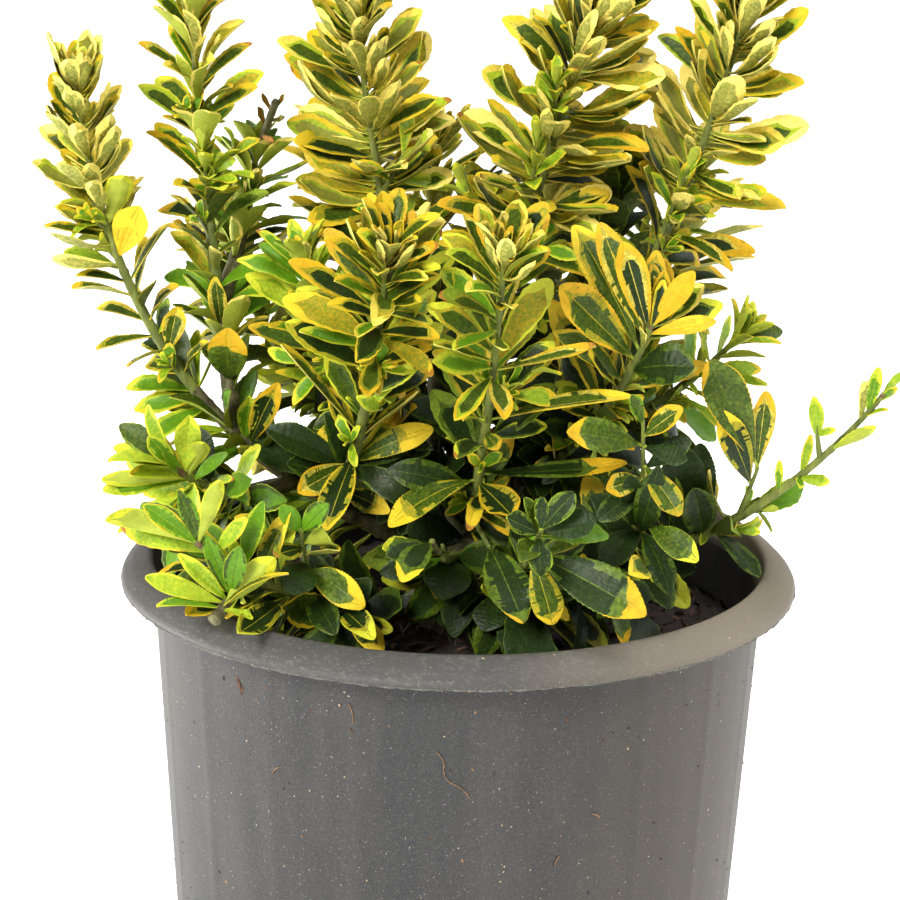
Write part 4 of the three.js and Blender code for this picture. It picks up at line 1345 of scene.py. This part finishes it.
def face_slots(v, rows, kinds, speckled, rng):
    """Material slots of the faces, in the order of their triangles."""
    count = len(v["end"])
    found = np.broadcast_to(kinds, (count, len(rows) - 1, len(kinds))).copy()

    def change(where, old, new):
        found[where & np.isin(found, old)] = new

    chance = rng.normal(0, 1, found.shape)
    chance = sum(np.roll(chance, k, 1) for k in range(RUN)) / math.sqrt(RUN)
    chance = 0.5 + 0.5 * np.tanh(0.8 * chance)
    change(chance < BLEND_TO_FLANK, BLEND, FLANK)
    change(chance > BLEND_TO_MARGIN, BLEND, MARGIN)
    if speckled:
        change(chance > FLANK_TO_CENTRE, FLANK, CENTRE)
    middle = (rows[:-1] + rows[1:]) / 2
    place, end = middle[None, :, None], v["end"][:, None, None]
    change(place > end - CENTRE_STOPS, CENTRE, FLANK)
    change(place > end, (FLANK, CENTRE, MIDRIB), MARGIN)
    plain = v["blunt"][:, None, None] & (place < end - PLAIN_STOPS)
    change(plain, (MARGIN, BLEND), FLANK)
    change(plain, UNDER_EDGE, UNDER)
    change(place > end, UNDER, UNDER_EDGE)
    burnt = (rng.random(count) < BURNT_TIPS)[:, None, None] & (place > BURNT_FROM)
    change(burnt, MARGIN, BURNT)
    found[:, middle < PETIOLE_SHARE * PETIOLE_COLOURED] = PETIOLE
    slots = np.take_along_axis(v["colours"][:, None], found, -1)
    ahead = np.concatenate([slots[:, 1:], slots[:, -1:]], 1)
    return np.stack([slots, ahead], -1).ravel()


def leaf_batch(leaves, rows, detail, rng):
    """Closed blades as arrays: points, triangles, their material slots and the rim's points.

    A change of colour along the leaf runs slanting, forward from the midrib, as the veins do.
    """
    v = leaf_values(leaves, rng)
    s = rows[None]
    shares, above, kinds, edges = cross_section(detail, *green_edges(v, s, JAG[detail], rng))
    half = half_width(v, rows, TOOTH[detail])[..., None]
    close = detail == "close"
    points = blade_points(v, s, half, shares, above, close)
    index = np.arange(points.size // 3).reshape(points.shape[:3])
    caps = np.concatenate([index[:, 0], index[:, -1, ::-1]])
    ring = len(above)
    first = np.repeat(caps[:, :1], ring - 2, 1)
    cap_faces = np.stack([first, caps[:, 1:-1], caps[:, 2:]], -1).reshape(-1, 3)
    cap_slots = np.concatenate([v["colours"][:, PETIOLE], v["colours"][:, MARGIN]])
    sharp = np.zeros(index.shape, bool)
    sharp[:, :, edges] = True
    slots = face_slots(v, rows, kinds, close, rng)
    return {
        "points": points.reshape(-1, 3),
        "faces": np.concatenate([blade_triangles(index, np.abs(shares)), cap_faces]),
        "slots": np.concatenate([slots, np.repeat(cap_slots, ring - 2)]),
        "sharp": sharp.ravel(),
    }


def by_detail(leaves):
    """The leaves of each level of detail: those placed at the front, then by their length."""
    placed = [leaf for leaf in leaves if "wide" in leaf]
    rest = [leaf for leaf in leaves if "wide" not in leaf]
    small = [leaf for leaf in rest if leaf["length"] < MEDIUM_FROM]
    large = [leaf for leaf in rest if leaf["length"] >= FINE_FROM and leaf["root"][1] < BACK_FROM]
    apart = {id(leaf) for leaf in small + large}
    medium = [leaf for leaf in rest if id(leaf) not in apart]
    return (((CLOSE_ROWS, "close"), placed), ((FINE_ROWS, "fine"), large),
            ((MEDIUM_ROWS, "fine"), medium), ((COARSE_ROWS, "coarse"), small))


def join_leaves(name, leaves, seed):
    """One piece from the leaves of some shoots."""
    rng = np.random.default_rng(seed)
    batches = []
    base = 0
    for (rows, detail), group in by_detail(leaves):
        if group:
            batch = leaf_batch(group, rows, detail, rng)
            batch["faces"] += base
            base += len(batch["points"])
            batches.append(batch)
    points, faces, slots, sharp = (
        np.concatenate([batch[key] for batch in batches])
        for key in ("points", "faces", "slots", "sharp"))
    piece = joined_mesh(name, points, faces, slots, list(leaf_materials.values()), sharp)
    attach(piece, "root")
    return piece


dress = seeded_random(STYLE_SEED)
for shoot, (_, leaves) in zip(shoots, growth):
    for leaf in leaves:
        leaf["style"] = style_of(shoot, leaf, dress)
        leaf["colours"] = colour_row(leaf["style"], dress)

# The shoots whose leaves are joined into one piece
GROUPS = {
    "foliage_left": ("far_left", "tall_left", "left_side", "left_middle"),
    "foliage_tall_middle": ("tall_middle_left", "behind_left", "tall_middle_right"),
    "foliage_right": ("tall_right", "right_small", "right_branch", "behind_right"),
    "foliage_front": ("front_left", "front_middle", "low_middle"),
    "foliage_low_left": ("low_left_front", "low_left", "low_front_left"),
    "foliage_low_right": ("right_rosette", "right_front", "low_front", "low_front_right"),
    "foliage_back_left": ("back_middle_left", "back_left", "back_low_left", "behind_middle"),
    "foliage_back_right": ("back_right", "back_middle_right", "back_low_right"),
}
for order, (name, members) in enumerate(GROUPS.items()):
    together = [leaf for member in members for leaf in growth[by_name[member]["index"]][1]]
    piece = join_leaves(name, together, SEED + order)
    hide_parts(*["leaves_" + member for member in members])

# Limbs, stems and twigs

STEP = 1.1
LIMB_SIDES = 12
RIDGE_HEIGHT = 0.05
SURFACE_NOISE = 0.018
SCAR_WIDTH = 0.35
SCAR_SWELLING = 0.16
SCAR_COLOURED = 0.55
BOUGH_NODE_GAP = 9


def steady_frame(path, t):
    """Sides along a path that never swap over."""
    tangent = path.tangent(t)
    middle = path.tangent(0.5)
    reference = np.array([1.0, 0, 0]) if abs(middle[1]) > STEEP_ALONG_Y else np.array([0, 1.0, 0])
    side = unit(reference - (tangent @ reference)[:, None] * tangent)
    return tangent, side, np.cross(side, tangent)


def limb(path, radius_at, scars, rng, sides=LIMB_SIDES, step=STEP, ridge=RIDGE_HEIGHT):
    """A bent, ridged tube with a swollen scar at each node: points, quads, kinds and caps."""
    length = path.length()
    count = max(5, int(length / step))
    t = np.linspace(0, 1, count + 1)
    _, side, across = steady_frame(path, t)
    angle = np.arange(sides) * 2 * math.pi / sides
    radius = np.repeat(radius_at(t)[:, None], sides, 1)
    twist = 2 * math.pi * t[:, None] * 0.4
    radius *= 1 + ridge * np.cos(4 * angle[None] + twist)
    radius *= 1 + rng.normal(0, SURFACE_NOISE, radius.shape)
    near = np.zeros(count + 1)
    for scar in scars:
        near = np.maximum(near, np.exp(-((t - scar) * length / SCAR_WIDTH) ** 2))
    radius *= 1 + SCAR_SWELLING * near[:, None]
    ring = (side[:, None] * np.cos(angle)[None, :, None]
            + across[:, None] * np.sin(angle)[None, :, None])
    points = path.point(t)[:, None] + ring * radius[..., None]
    index = np.arange((count + 1) * sides).reshape(count + 1, sides)
    marked = (near[:-1] + near[1:]) / 2 > SCAR_COLOURED
    kinds = np.repeat(marked.astype(int), sides)
    caps = [index[0, ::-1], index[-1]]
    return points.reshape(-1, 3), strip_quads(index), kinds, caps


def join_limbs(name, parts, materials):
    """One piece from the points, quads, kinds and caps of some limbs."""
    points, faces, kinds = [], [], []
    base = 0
    for part_points, quads, part_kinds, caps in parts:
        points.append(part_points)
        faces += (quads + base).tolist() + [(cap + base).tolist() for cap in caps]
        kinds += [part_kinds, np.zeros(len(caps), int)]
        base += len(part_points)
    piece = joined_mesh(name, np.concatenate(points), faces, np.concatenate(kinds), materials)
    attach(piece, "root")
    return piece


def bark_material(name, colours, scale, stretch, depth):
    """Bark, wood or peat in three tones, rough by a finer noise of the same stretch."""
    look = Look(name, 0.72)
    stops = [(0.28 + 0.22 * i, code) for i, code in enumerate(colours)]
    colour = look.tones(look.noise(scale, 5, 0.6, stretch), *stops)
    return look.finish(colour, look.noise(scale * 2.5, 3, 0.6, stretch), 0.6, depth)


old_bark = bark_material("old_bark", ("382c1c", "565232", "72734a"), 420, (1, 1, 0.35), 0.0006)
green_bark = bark_material("green_bark", ("464f1c", "5e6826", "828a36"), 380, (1, 1, 0.3), 0.0003)
scar_bark = bark_material("scar_bark", ("38281a", "5a4429", "7c6440"), 700, (1, 1, 1), 0.0004)

wood_rng = np.random.default_rng(WOOD_SEED)


def taper(foot_radius, tip_radius):
    """The radius of a limb as a function of the share of its length."""
    return lambda t: mix(foot_radius, tip_radius, t)


def node_shares(nodes):
    """Shares of a stem at which the nodes and the pairs between them stand."""
    return crowded(np.clip((np.arange(nodes * 2) / 2 + 0.5) / nodes, 0, 1))


bough_radius = taper(BOUGH_FOOT_RADIUS, STEM_FOOT_RADIUS)
stem_radius = taper(STEM_FOOT_RADIUS, STEM_TIP_RADIUS)
twig_radius = taper(TWIG_FOOT_RADIUS, TWIG_TIP_RADIUS)
bark_parts = [limb(trunk_path(), trunk_radius, (0.55, 0.8), wood_rng, sides=28, step=0.7, ridge=0.07)]
stem_parts = []
for shoot, (twigs, leaves) in zip(shoots, growth):
    old_nodes = np.arange(0.25, 1, BOUGH_NODE_GAP / shoot["bough"].length())
    bark_parts.append(limb(shoot["bough"], bough_radius, old_nodes, wood_rng))
    end = max(shoot["start"] + 0.05, min(1, last_leaf(shoot["path"], leaves) + 0.01))
    grown = shoot["path"].part(shoot["start"] * 0.99, end)
    stem_parts.append(limb(grown, stem_radius, node_shares(shoot["nodes"]), wood_rng))
    for twig in twigs:
        stem_parts.append(limb(twig, twig_radius, (), wood_rng, sides=7, step=0.9))
for stem, t, tip, thick in STUBS:
    stub = line(stem_paths[stem][0].point(t), np.array(tip, float))
    swell = taper(0.75 * thick, thick)
    bark_parts.append(
        limb(stub, swell, (0.5, 0.97), wood_rng, sides=10, step=0.6, ridge=0.12))
bark = join_limbs("bark_limbs", bark_parts, [old_bark, scar_bark])
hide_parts("trunk", *["bough_" + shoot["name"] for shoot in shoots])
stems = join_limbs("green_stems", stem_parts, [green_bark, scar_bark])

# Pot

RIBS = 20
RIB_OFFSETS = (-2, -1, 0, 1, 2)
RIB_BETWEEN = 6
RIB_HEIGHT = 0.22
RIB_DEPTH = 0.5
RIB_WIDTH = 1.1
RIB_EDGE = 3.8
UNDERSIDE_RINGS = (20, 50)
GROOVE = ((0, 0), (0.6, 0.5), (1.4, 0.5), (2, 0))
# Radius and height of the points that make the rim, in millimetres: its top and, below it, the
# hollow between its outer edge and the wall
RIM_TOP = [
    (94, 142.5), (95, 142.5), (95.05, 143.2), (94.6, 144.1), (94, 144.8), (93, 145.75),
    (92, 146.8), (91, 147.5), (90, 148.15), (89, 148.8), (88, 149.3), (87.2, 149.55),
    (86.6, 149.4), (86.15, 149), (85.9, 148), (85.6, 146), (85, 142.6), (84.2, 140.7),
]
RIM_HOLLOW = [(86.4, 145), (88.5, 146.3), (91.3, 145.6), (93.3, 143.8)]
WALL_STEPS = 26
RIM_ROOT = 2.5
# Where the side with painted warm light and the rim, painted lighter as painted top light and worn,
# begin and are complete, in metres
PAINTED_LIGHT_SIDE = (0.01, 0.075)
RIM_BEGINS = (0.1418, 0.1426)


def pot_profile():
    """Radius, height and rib share of each point, from the axis below to the axis inside."""
    rim_low = POT_HEIGHT - RIM_DROP
    profile = [(0, 0, 0)]
    for ring in UNDERSIDE_RINGS:
        profile += [(ring + out, depth, 0) for out, depth in GROOVE]
    foot = FOOT_CHAMFER
    profile += [(POT_BASE_RADIUS - foot, 0, 0), (POT_BASE_RADIUS - 0.4 * foot, 0.4 * foot, 0)]
    for i in range(WALL_STEPS + 1):
        z = mix(foot, rim_low, i / WALL_STEPS)
        profile.append((mix(POT_BASE_RADIUS, POT_NECK_RADIUS, i / WALL_STEPS), z, RIB_HEIGHT))
    profile += [(r, z, 0) for r, z in RIM_HOLLOW + RIM_TOP]
    for i in range(WALL_STEPS + 1):
        z = mix(rim_low - POT_WALL - RIM_ROOT, POT_FLOOR, i / WALL_STEPS)
        profile.append((pot_inside(z), z, -RIB_DEPTH))
    profile.append((0, POT_FLOOR, 0))
    return np.array(profile)


def pot_angles():
    """Angles of the columns of points: close together over each rib, wider between them."""
    pitch = 360 / RIBS
    between = np.linspace(RIB_EDGE, pitch - RIB_EDGE, RIB_BETWEEN)
    steps = np.concatenate([RIB_OFFSETS, between])
    return np.radians(np.sort((np.arange(RIBS)[:, None] * pitch + steps[None]).ravel()))


def turned_mesh(profile, angles, radial):
    """A closed body of revolution: radial(angle, row) changes the radius of each point."""
    inner = profile[1:-1]
    count, rows = len(angles), len(inner)
    radius = inner[:, 0][:, None] + radial(angles[None], inner)
    x, y = radius * np.cos(angles), radius * np.sin(angles)
    z = np.repeat(inner[:, 1][:, None], count, 1)
    points = np.stack([x, y, z], -1).reshape(-1, 3)
    ends = np.array([[0, 0, profile[0, 1]], [0, 0, profile[-1, 1]]])
    index = np.arange(rows * count).reshape(rows, count)
    nxt = np.roll(index, -1, axis=1)
    faces = strip_quads(index).tolist()
    low, high = rows * count, rows * count + 1
    faces += [[low, nxt[0, j], index[0, j]] for j in range(count)]
    faces += [[high, index[-1, j], nxt[-1, j]] for j in range(count)]
    return np.concatenate([points, ends]), faces


def rib_relief(angles, inner):
    """How far the ribs, as wide as a bell curve, stand out at each angle and row."""
    pitch = 2 * math.pi / RIBS
    off = np.degrees((angles + pitch / 2) % pitch - pitch / 2)
    return inner[:, 2][:, None] * np.exp(-(off / RIB_WIDTH) ** 2)


def pot_material():
    """Grey moulded plastic: soft bands, grain, dust, painted warm light on its right side, a rim painted
    lighter as painted top light with a painted reflection at its right, a worn rim and bright specks.
    """
    look = Look("grey_plastic", 0.5, Specular_IOR_Level=0.38)
    colour = look.tones(look.noise(11, 2), (0.48, "25272a"), (0.68, "2c2925"))
    bands = look.share(look.noise(90, 3, 0.5, (1, 1, 0.04)), (0.36, 0), (0.66, 0.6))
    colour = look.over(bands, colour, "3a3835")
    grain = look.noise(1700, 5, 0.75)
    colour = look.over(look.share(grain, (0.3, 0.7), (0.5, 0)), colour, "191a1b")
    colour = look.over(look.share(grain, (0.5, 0), (0.72, 0.55)), colour, "55524d")
    dust = look.share(look.noise(60, 6, 0.7, (1, 1, 0.3)), (0.48, 0), (0.78, 0.32))
    colour = look.over(dust, colour, "4b4842")
    parts = look.add("SeparateXYZ", Vector=look.place)
    # The right side of the pot in a warm brownish tone: painted warm light
    painted_light_side = look.rise(parts.outputs["X"], *PAINTED_LIGHT_SIDE, 0.6)
    colour = look.over(painted_light_side, colour, "43392b")
    rim = look.rise(parts.outputs["Z"], *RIM_BEGINS, 0.55)
    # The rim in a lighter grey: painted top light
    colour = look.over(rim, colour, "4c4b49")
    # Where the right side meets the rim, a light warm tone: painted reflection
    colour = look.over(look.product(painted_light_side, rim), colour, "a8997f")
    scuffs = look.share(look.noise(500, 6, 0.75, (1, 1, 2.5)), (0.52, 0), (0.72, 0.9))
    colour = look.over(look.product(scuffs, rim), colour, "7b7873")
    fine = look.share(look.noise(2300, 1, 0.3), (0.74, 0), (0.77, 0.8))
    colour = look.over(fine, colour, "8d8374")
    specks = look.share(look.noise(1150, 1, 0.3), (0.78, 0), (0.81, 1))
    colour = look.over(specks, colour, "b59c78")
    return look.finish(colour, look.noise(1400, 4, 0.7), 0.5, 0.0003)


# The mould's flash in light greys: painted highlight along the rim's lower edge
def flash_highlight_material():
    look = Look("rough_edge_painted_highlight", 0.7)
    colour = look.tones(look.noise(1500, 4, 0.7), (0.3, "34322f"), (0.55, "5b5954"),
                        (0.75, "8a867e"))
    return look.finish(colour, look.noise(1800), 0.6, 0.0003)


# The inside of the wall: the same grey plastic painted darker, as painted shade inside the pot
def shaded_inner_material():
    look = Look("inner_plastic_painted_shade", 0.6, Specular_IOR_Level=0.25)
    colour = look.tones(look.noise(130, 4, 0.6, (1, 1, 0.1)), (0.35, "141415"),
                        (0.6, "1b1b1a"), (0.75, "2b2a27"))
    return look.finish(colour, look.noise(1200), 0.4, 0.0002)


pot_rows = pot_profile()
wall_angles = pot_angles()
pot_points, pot_faces = turned_mesh(pot_rows, wall_angles, rib_relief)
pot_kinds = np.zeros(len(pot_faces), int)
# The rows of faces on the inside of the wall, which take the painted shade: without the rim above them
# and the floor below
inner_from, inner_to = (len(wall_angles) * (len(pot_rows) - k) for k in (WALL_STEPS + 4, 3))
pot_kinds[inner_from:inner_to] = 1
pot = joined_mesh("pot_shell", pot_points, pot_faces, pot_kinds, [pot_material(), shaded_inner_material()])
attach(pot, "root")
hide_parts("pot")

# The rough line that the mould leaves along the lower edge of the rim, in light greys that paint the
# highlight along that edge

FLASH_STEPS = 1080
FLASH_WAVES = (9, 23, 41)
FLASH_SIZES = (0.25, 1.5)
# Outward and upward places round the ring's section, at size 1
FLASH_SECTION = np.array([(-0.5, 0.1), (0.1, 0.25), (0.3, -0.1), (0.1, -0.45), (-0.35, -0.4)])


def rim_flash():
    """Points and quads of a thin, uneven ring."""
    rng = np.random.default_rng(RIM_SEED)
    angles = np.arange(FLASH_STEPS) * 2 * math.pi / FLASH_STEPS
    rough = rng.normal(0, 1, FLASH_STEPS)
    rough = sum(np.roll(rough, k) for k in range(3)) / math.sqrt(3)
    swell = sum(np.sin(n * angles + rng.uniform(0, 6)) for n in FLASH_WAVES) / 3
    size = np.clip(0.7 + 0.22 * rough + 0.3 * swell, *FLASH_SIZES)[:, None]
    radius = RIM_RADIUS - 0.05 + FLASH_SECTION[:, 0] * size
    z = POT_HEIGHT - RIM_DROP + 0.1 + FLASH_SECTION[:, 1] * size
    points = np.stack([radius * np.cos(angles)[:, None], radius * np.sin(angles)[:, None], z], -1)
    index = np.arange(FLASH_STEPS * len(FLASH_SECTION)).reshape(FLASH_STEPS, -1)
    nxt, after = np.roll(index, -1, 0), np.roll(index, -1, 1)
    quads = np.stack([index, after, np.roll(nxt, -1, 1), nxt], -1).reshape(-1, 4)
    return points.reshape(-1, 3), quads


flash_points, flash_faces = rim_flash()
flash = joined_mesh("rim_edge", flash_points, flash_faces, 0, [flash_highlight_material()])
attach(flash, "root")

# Soil

SOIL_RINGS = 44
SOIL_SPOKES = 150
# Length and height of the waves of its surface; each runs in several directions
SOIL_WAVES = ((14, 0.7), (7, 0.5), (3.2, 0.45), (1.7, 0.25))
WAVE_HEADINGS = 5
CHIPS = 1200
CHIP_EDGE_GAP = 4
CHIP_KINDS = (0.6, 0.3, 0.1)
soil_rng = np.random.default_rng(SOIL_SEED)
waves = [
    (2 * math.pi / size, height, *soil_rng.uniform(0, 2 * math.pi, 2))
    for size, height in SOIL_WAVES for _ in range(WAVE_HEADINGS)
]


def soil_surface(x, y):
    """Height of the soil with its waves."""
    z = soil_height(np.hypot(x, y))
    for pitch, height, heading, phase in waves:
        run = x * math.cos(heading) + y * math.sin(heading)
        z = z + height / 2.2 * np.sin(pitch * run + phase)
    return z


def soil_mesh():
    """Points and faces of the closed bed of soil."""
    edge = pot_inside(SOIL_EDGE_HEIGHT) - SOIL_WALL_GAP
    angles = np.arange(SOIL_SPOKES) * 2 * math.pi / SOIL_SPOKES
    radii = edge * (np.arange(1, SOIL_RINGS + 1) / SOIL_RINGS) ** 0.8
    x, y = radii[:, None] * np.cos(angles), radii[:, None] * np.sin(angles)
    top = np.stack([x, y, soil_surface(x, y)], -1)
    floor = POT_FLOOR + SEAT_GAP
    low = pot_inside(floor) - SOIL_WALL_GAP
    bottom = np.stack([low * np.cos(angles), low * np.sin(angles), np.full(SOIL_SPOKES, floor)], -1)
    rows = np.concatenate([top, bottom[None]])
    points = rows.reshape(-1, 3)
    index = np.arange(len(points)).reshape(len(rows), SOIL_SPOKES)
    nxt = np.roll(index, -1, axis=1)
    faces = np.stack([index[:-1], index[1:], nxt[1:], nxt[:-1]], -1).reshape(-1, 4).tolist()
    centre = len(points)
    faces += [[centre, index[0, j], nxt[0, j]] for j in range(SOIL_SPOKES)]
    faces.append(index[-1, ::-1].tolist())
    crown = np.array([[0, 0, float(soil_surface(np.array(0.0), np.array(0.0)))]])
    return np.concatenate([points, crown]), faces


def chip_shapes(count, rng):
    """Jagged flakes: an icosahedron squashed, knocked about and turned for each."""
    golden = (1 + math.sqrt(5)) / 2
    edge = 1.2
    corners = np.array([(0, a, b * golden) for a in (-1, 1) for b in (-1, 1)], float)
    corners = np.concatenate([np.roll(corners, k, axis=1) for k in range(3)])
    corners /= np.linalg.norm(corners[0])
    near = np.linalg.norm(corners[:, None] - corners[None], axis=-1) < edge
    triangles = []
    for i in range(12):
        for j in range(i + 1, 12):
            for k in range(j + 1, 12):
                if near[i, j] and near[j, k] and near[i, k]:
                    a, b, c = corners[[i, j, k]]
                    out = np.dot(np.cross(b - a, c - a), a) > 0
                    triangles.append((i, j, k) if out else (i, k, j))
    sizes = np.stack([rng.uniform(0.7, 3.4, count), rng.uniform(0.4, 1.5, count),
                      rng.uniform(0.25, 0.8, count)], -1)
    shapes = corners[None] * rng.uniform(0.7, 1.25, (count, 12, 1)) * sizes[:, None]
    turns, _ = np.linalg.qr(rng.normal(0, 1, (count, 3, 3)) + np.eye(3)[None] * 1.2)
    turns *= np.sign(np.linalg.det(turns))[:, None, None]
    return shapes @ turns.transpose(0, 2, 1), np.array(triangles)


def scatter_chips():
    """Points, triangles and kinds of the loose chips on the soil."""
    shapes, triangles = chip_shapes(CHIPS, soil_rng)
    edge = pot_inside(SOIL_EDGE_HEIGHT) - CHIP_EDGE_GAP
    radius = np.sqrt(soil_rng.uniform(0.012, 1, CHIPS)) * edge
    angle = soil_rng.uniform(0, 2 * math.pi, CHIPS)
    x, y = radius * np.cos(angle), radius * np.sin(angle)
    centre = np.stack([x, y, soil_surface(x, y) + soil_rng.uniform(-0.1, 0.5, CHIPS)], -1)
    points = (shapes + centre[:, None]).reshape(-1, 3)
    faces = (triangles[None] + np.arange(CHIPS)[:, None, None] * 12).reshape(-1, 3)
    kinds = np.repeat(soil_rng.choice(3, CHIPS, p=CHIP_KINDS), len(triangles))
    return points, faces, kinds


soil_materials = [
    bark_material("peat", ("110b07", "20150d", "352416"), 500, (1, 1, 1), 0.001),
    bark_material("bark_chip", ("2b1a0e", "4a2f1b", "6c482c"), 600, (1, 1, 1), 0.0006),
    bark_material("pale_chip", ("523a25", "7a5b3b", "9c7c54"), 600, (1, 1, 1), 0.0006),
]
soil_points, soil_faces = soil_mesh()
soil = joined_mesh("soil_bed", soil_points, soil_faces, 0, soil_materials[:1])
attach(soil, "root")
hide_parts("soil")
chip_points, chip_faces, chip_kinds = scatter_chips()
chips = joined_mesh("soil_chips", chip_points, chip_faces, chip_kinds, soil_materials, smooth=False)
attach(chips, "root")

# Crumbs, flakes and fibres that stick to the wall and the rim

# angle in degrees, height, width and length, turn in degrees
CRUMBS = np.array([
    (-133.2, 132, 1.7, 5.4, 20), (-132.3, 129.5, 1.2, 3.2, -35), (-125.8, 133, 1.5, 2.2, 70),
    (-137.2, 131, 0.8, 1.4, 10), (-139.4, 137, 1.2, 1.6, 80), (-125, 138.6, 1.4, 2, 30),
    (-108.8, 125.3, 1.3, 1.9, 40), (-110.8, 132.3, 0.6, 1.2, 0), (-70.1, 129.4, 1, 1.6, 15),
    (-57.5, 124.2, 0.7, 1.1, 60), (-101.6, 134, 0.7, 1, 0), (-61.5, 118.3, 0.6, 1, 30),
    (-88, 138.8, 0.9, 1.8, 85), (-76, 139.2, 0.7, 1.3, 80), (-52, 138.5, 1, 1.6, 70),
])
GRAINS = 420
GRAIN_SIZE = (0.14, 0.42)
GRAIN_HEIGHTS = (8, 139)
GRAIN_KINDS = (0.25, 0.35, 0.4)
# angle and height of the ends, bow to the side in millimetres
FIBRES = [
    (-93.4, 121.5, -92.1, 116.5, 0.8), (-92.1, 116.5, -90.3, 112.4, -0.7),
    (-90.3, 112.4, -87.4, 108.4, 0.6), (-109.3, 133, -108.5, 127.6, 0.5),
    (-125.6, 108, -123.9, 110.6, 0.3), (-64, 101, -62.4, 99.5, 0.3), (-71, 87, -70.1, 90, 0.3),
    (-143.4, 60, -142.2, 62.5, 0.4),
]
FIBRE_RADIUS = 0.16
FIBRE_LIFT = 0.25


def on_wall(angle, z, lift=0.0):
    """Points on the outside of the wall, lifted off it."""
    angle = np.radians(angle)
    radius = mix(POT_BASE_RADIUS, POT_NECK_RADIUS, z / (POT_HEIGHT - RIM_DROP)) + lift
    return np.stack([radius * np.cos(angle), radius * np.sin(angle), z], -1)


def wall_grit():
    """Flat crumbs against the wall, as points, triangles and kinds."""
    rng = np.random.default_rng(GRIT_SEED)
    shapes, triangles = chip_shapes(len(CRUMBS) + GRAINS, rng)
    shapes /= np.abs(shapes).max(axis=1, keepdims=True)
    crumb_angle, crumb_z, crumb_wide, crumb_tall, crumb_turn = CRUMBS.T
    angle = np.concatenate([crumb_angle, rng.uniform(-180, 180, GRAINS)])
    z = np.concatenate([crumb_z, mix(*GRAIN_HEIGHTS, rng.uniform(0, 1, GRAINS) ** 0.6)])
    small = rng.uniform(*GRAIN_SIZE, GRAINS)
    wide = np.concatenate([crumb_wide / 2, small])
    tall = np.concatenate([crumb_tall / 2, small * rng.uniform(0.9, 1.8, GRAINS)])
    turn = np.radians(np.concatenate([crumb_turn, rng.uniform(0, 180, GRAINS)]))[:, None]
    out = np.stack([np.cos(np.radians(angle)), np.sin(np.radians(angle)), 0 * angle], -1)
    level = np.stack([-out[:, 1], out[:, 0], 0 * angle], -1)
    across = level * np.cos(turn) + UP * np.sin(turn)
    along = UP * np.cos(turn) - level * np.sin(turn)
    points = (on_wall(angle, z, 0.05)[:, None]
              + across[:, None] * (shapes[..., 0] * wide[:, None])[..., None]
              + along[:, None] * (shapes[..., 1] * tall[:, None])[..., None]
              + out[:, None] * (shapes[..., 2] * wide[:, None] * 0.5)[..., None])
    faces = (triangles[None] + np.arange(len(angle))[:, None, None] * 12).reshape(-1, 3)
    kind = np.concatenate([np.ones(len(CRUMBS), int), rng.choice(3, GRAINS, p=GRAIN_KINDS)])
    return points.reshape(-1, 3), faces, np.repeat(kind, len(triangles))


def wall_fibres():
    """Threads that cling to the wall, as limbs."""
    parts = []
    rng = np.random.default_rng(FIBRE_SEED)
    for angle, low, angle_to, high, bow in FIBRES:
        foot, tip = on_wall(angle, low, FIBRE_LIFT), on_wall(angle_to, high, FIBRE_LIFT)
        way = unit(tip - foot)
        out = unit(foot * [1, 1, 0])
        middle = (foot + tip) / 2 + np.cross(out, way) * 2 * bow + out * 0.3
        path = Path([foot, middle, tip])
        thin = taper(FIBRE_RADIUS, FIBRE_RADIUS)
        parts.append(limb(path, thin, (), rng, sides=6, step=0.5))
    return parts


grit_points, grit_faces, grit_kinds = wall_grit()
grit = joined_mesh("pot_grit", grit_points, grit_faces, grit_kinds, soil_materials, smooth=False)
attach(grit, "root")
fibres = join_limbs("pot_fibres", wall_fibres(), [soil_materials[2], soil_materials[1]])

# Floor, light and colour

FLOOR_HALF = 4
FLOOR_GLOW = 0.75
SKY_STRENGTH = 0.16
PLANT = (0, 0, 0.2)


def make_floor():
    corners = [(-FLOOR_HALF, -FLOOR_HALF, 0), (FLOOR_HALF, -FLOOR_HALF, 0),
               (FLOOR_HALF, FLOOR_HALF, 0), (-FLOOR_HALF, FLOOR_HALF, 0)]
    mesh = bpy.data.meshes.new("floor")
    mesh.from_pydata(corners, [], [(0, 1, 2, 3)])
    look = Look("pale_floor", 0.8, Emission_Color=grey(1), Emission_Strength=FLOOR_GLOW)
    mesh.materials.append(look.finish(look.share(look.noise(3, 2), (0.3, 0.86), (0.7, 0.9))))
    floor = bpy.data.objects.new("floor", mesh)
    bpy.context.scene.collection.objects.link(floor)


def soft_light(name, place, target, size, power, colour=(1, 1, 1)):
    data = bpy.data.lights.new(name, "AREA")
    data.shape = "DISK"
    data.size = size
    data.energy = power
    data.color = colour
    light = bpy.data.objects.new(name, data)
    light.location = place
    light.rotation_mode = "QUATERNION"
    way = Vector(target) - Vector(place)
    light.rotation_quaternion = way.to_track_quat("-Z", "Y")
    bpy.context.scene.collection.objects.link(light)


make_floor()
soft_light("key", (-0.8, -1.4, 1.25), PLANT, 0.7, 50, (1, 0.97, 0.92))
soft_light("fill", (1.4, -1, 0.9), PLANT, 1.2, 0.6)
soft_light("right_top", (1.1, -0.6, 1.5), PLANT, 0.8, 11)
soft_light("left_edge", (-1.3, 0.3, 0.3), PLANT, 0.7, 21, (1, 0.97, 0.93))
soft_light("right_edge", (1.3, 0.5, 0.6), PLANT, 0.7, 6)
soft_light("top", (0.3, 0.3, 1.8), PLANT, 1, 20)
world = bpy.data.worlds.new("world")
world.use_nodes = True
sky = world.node_tree.nodes["Background"]
sky.inputs["Color"].default_value = grey(1)
sky.inputs["Strength"].default_value = SKY_STRENGTH
bpy.context.scene.world = world
bpy.context.scene.view_settings.view_transform = "Standard"
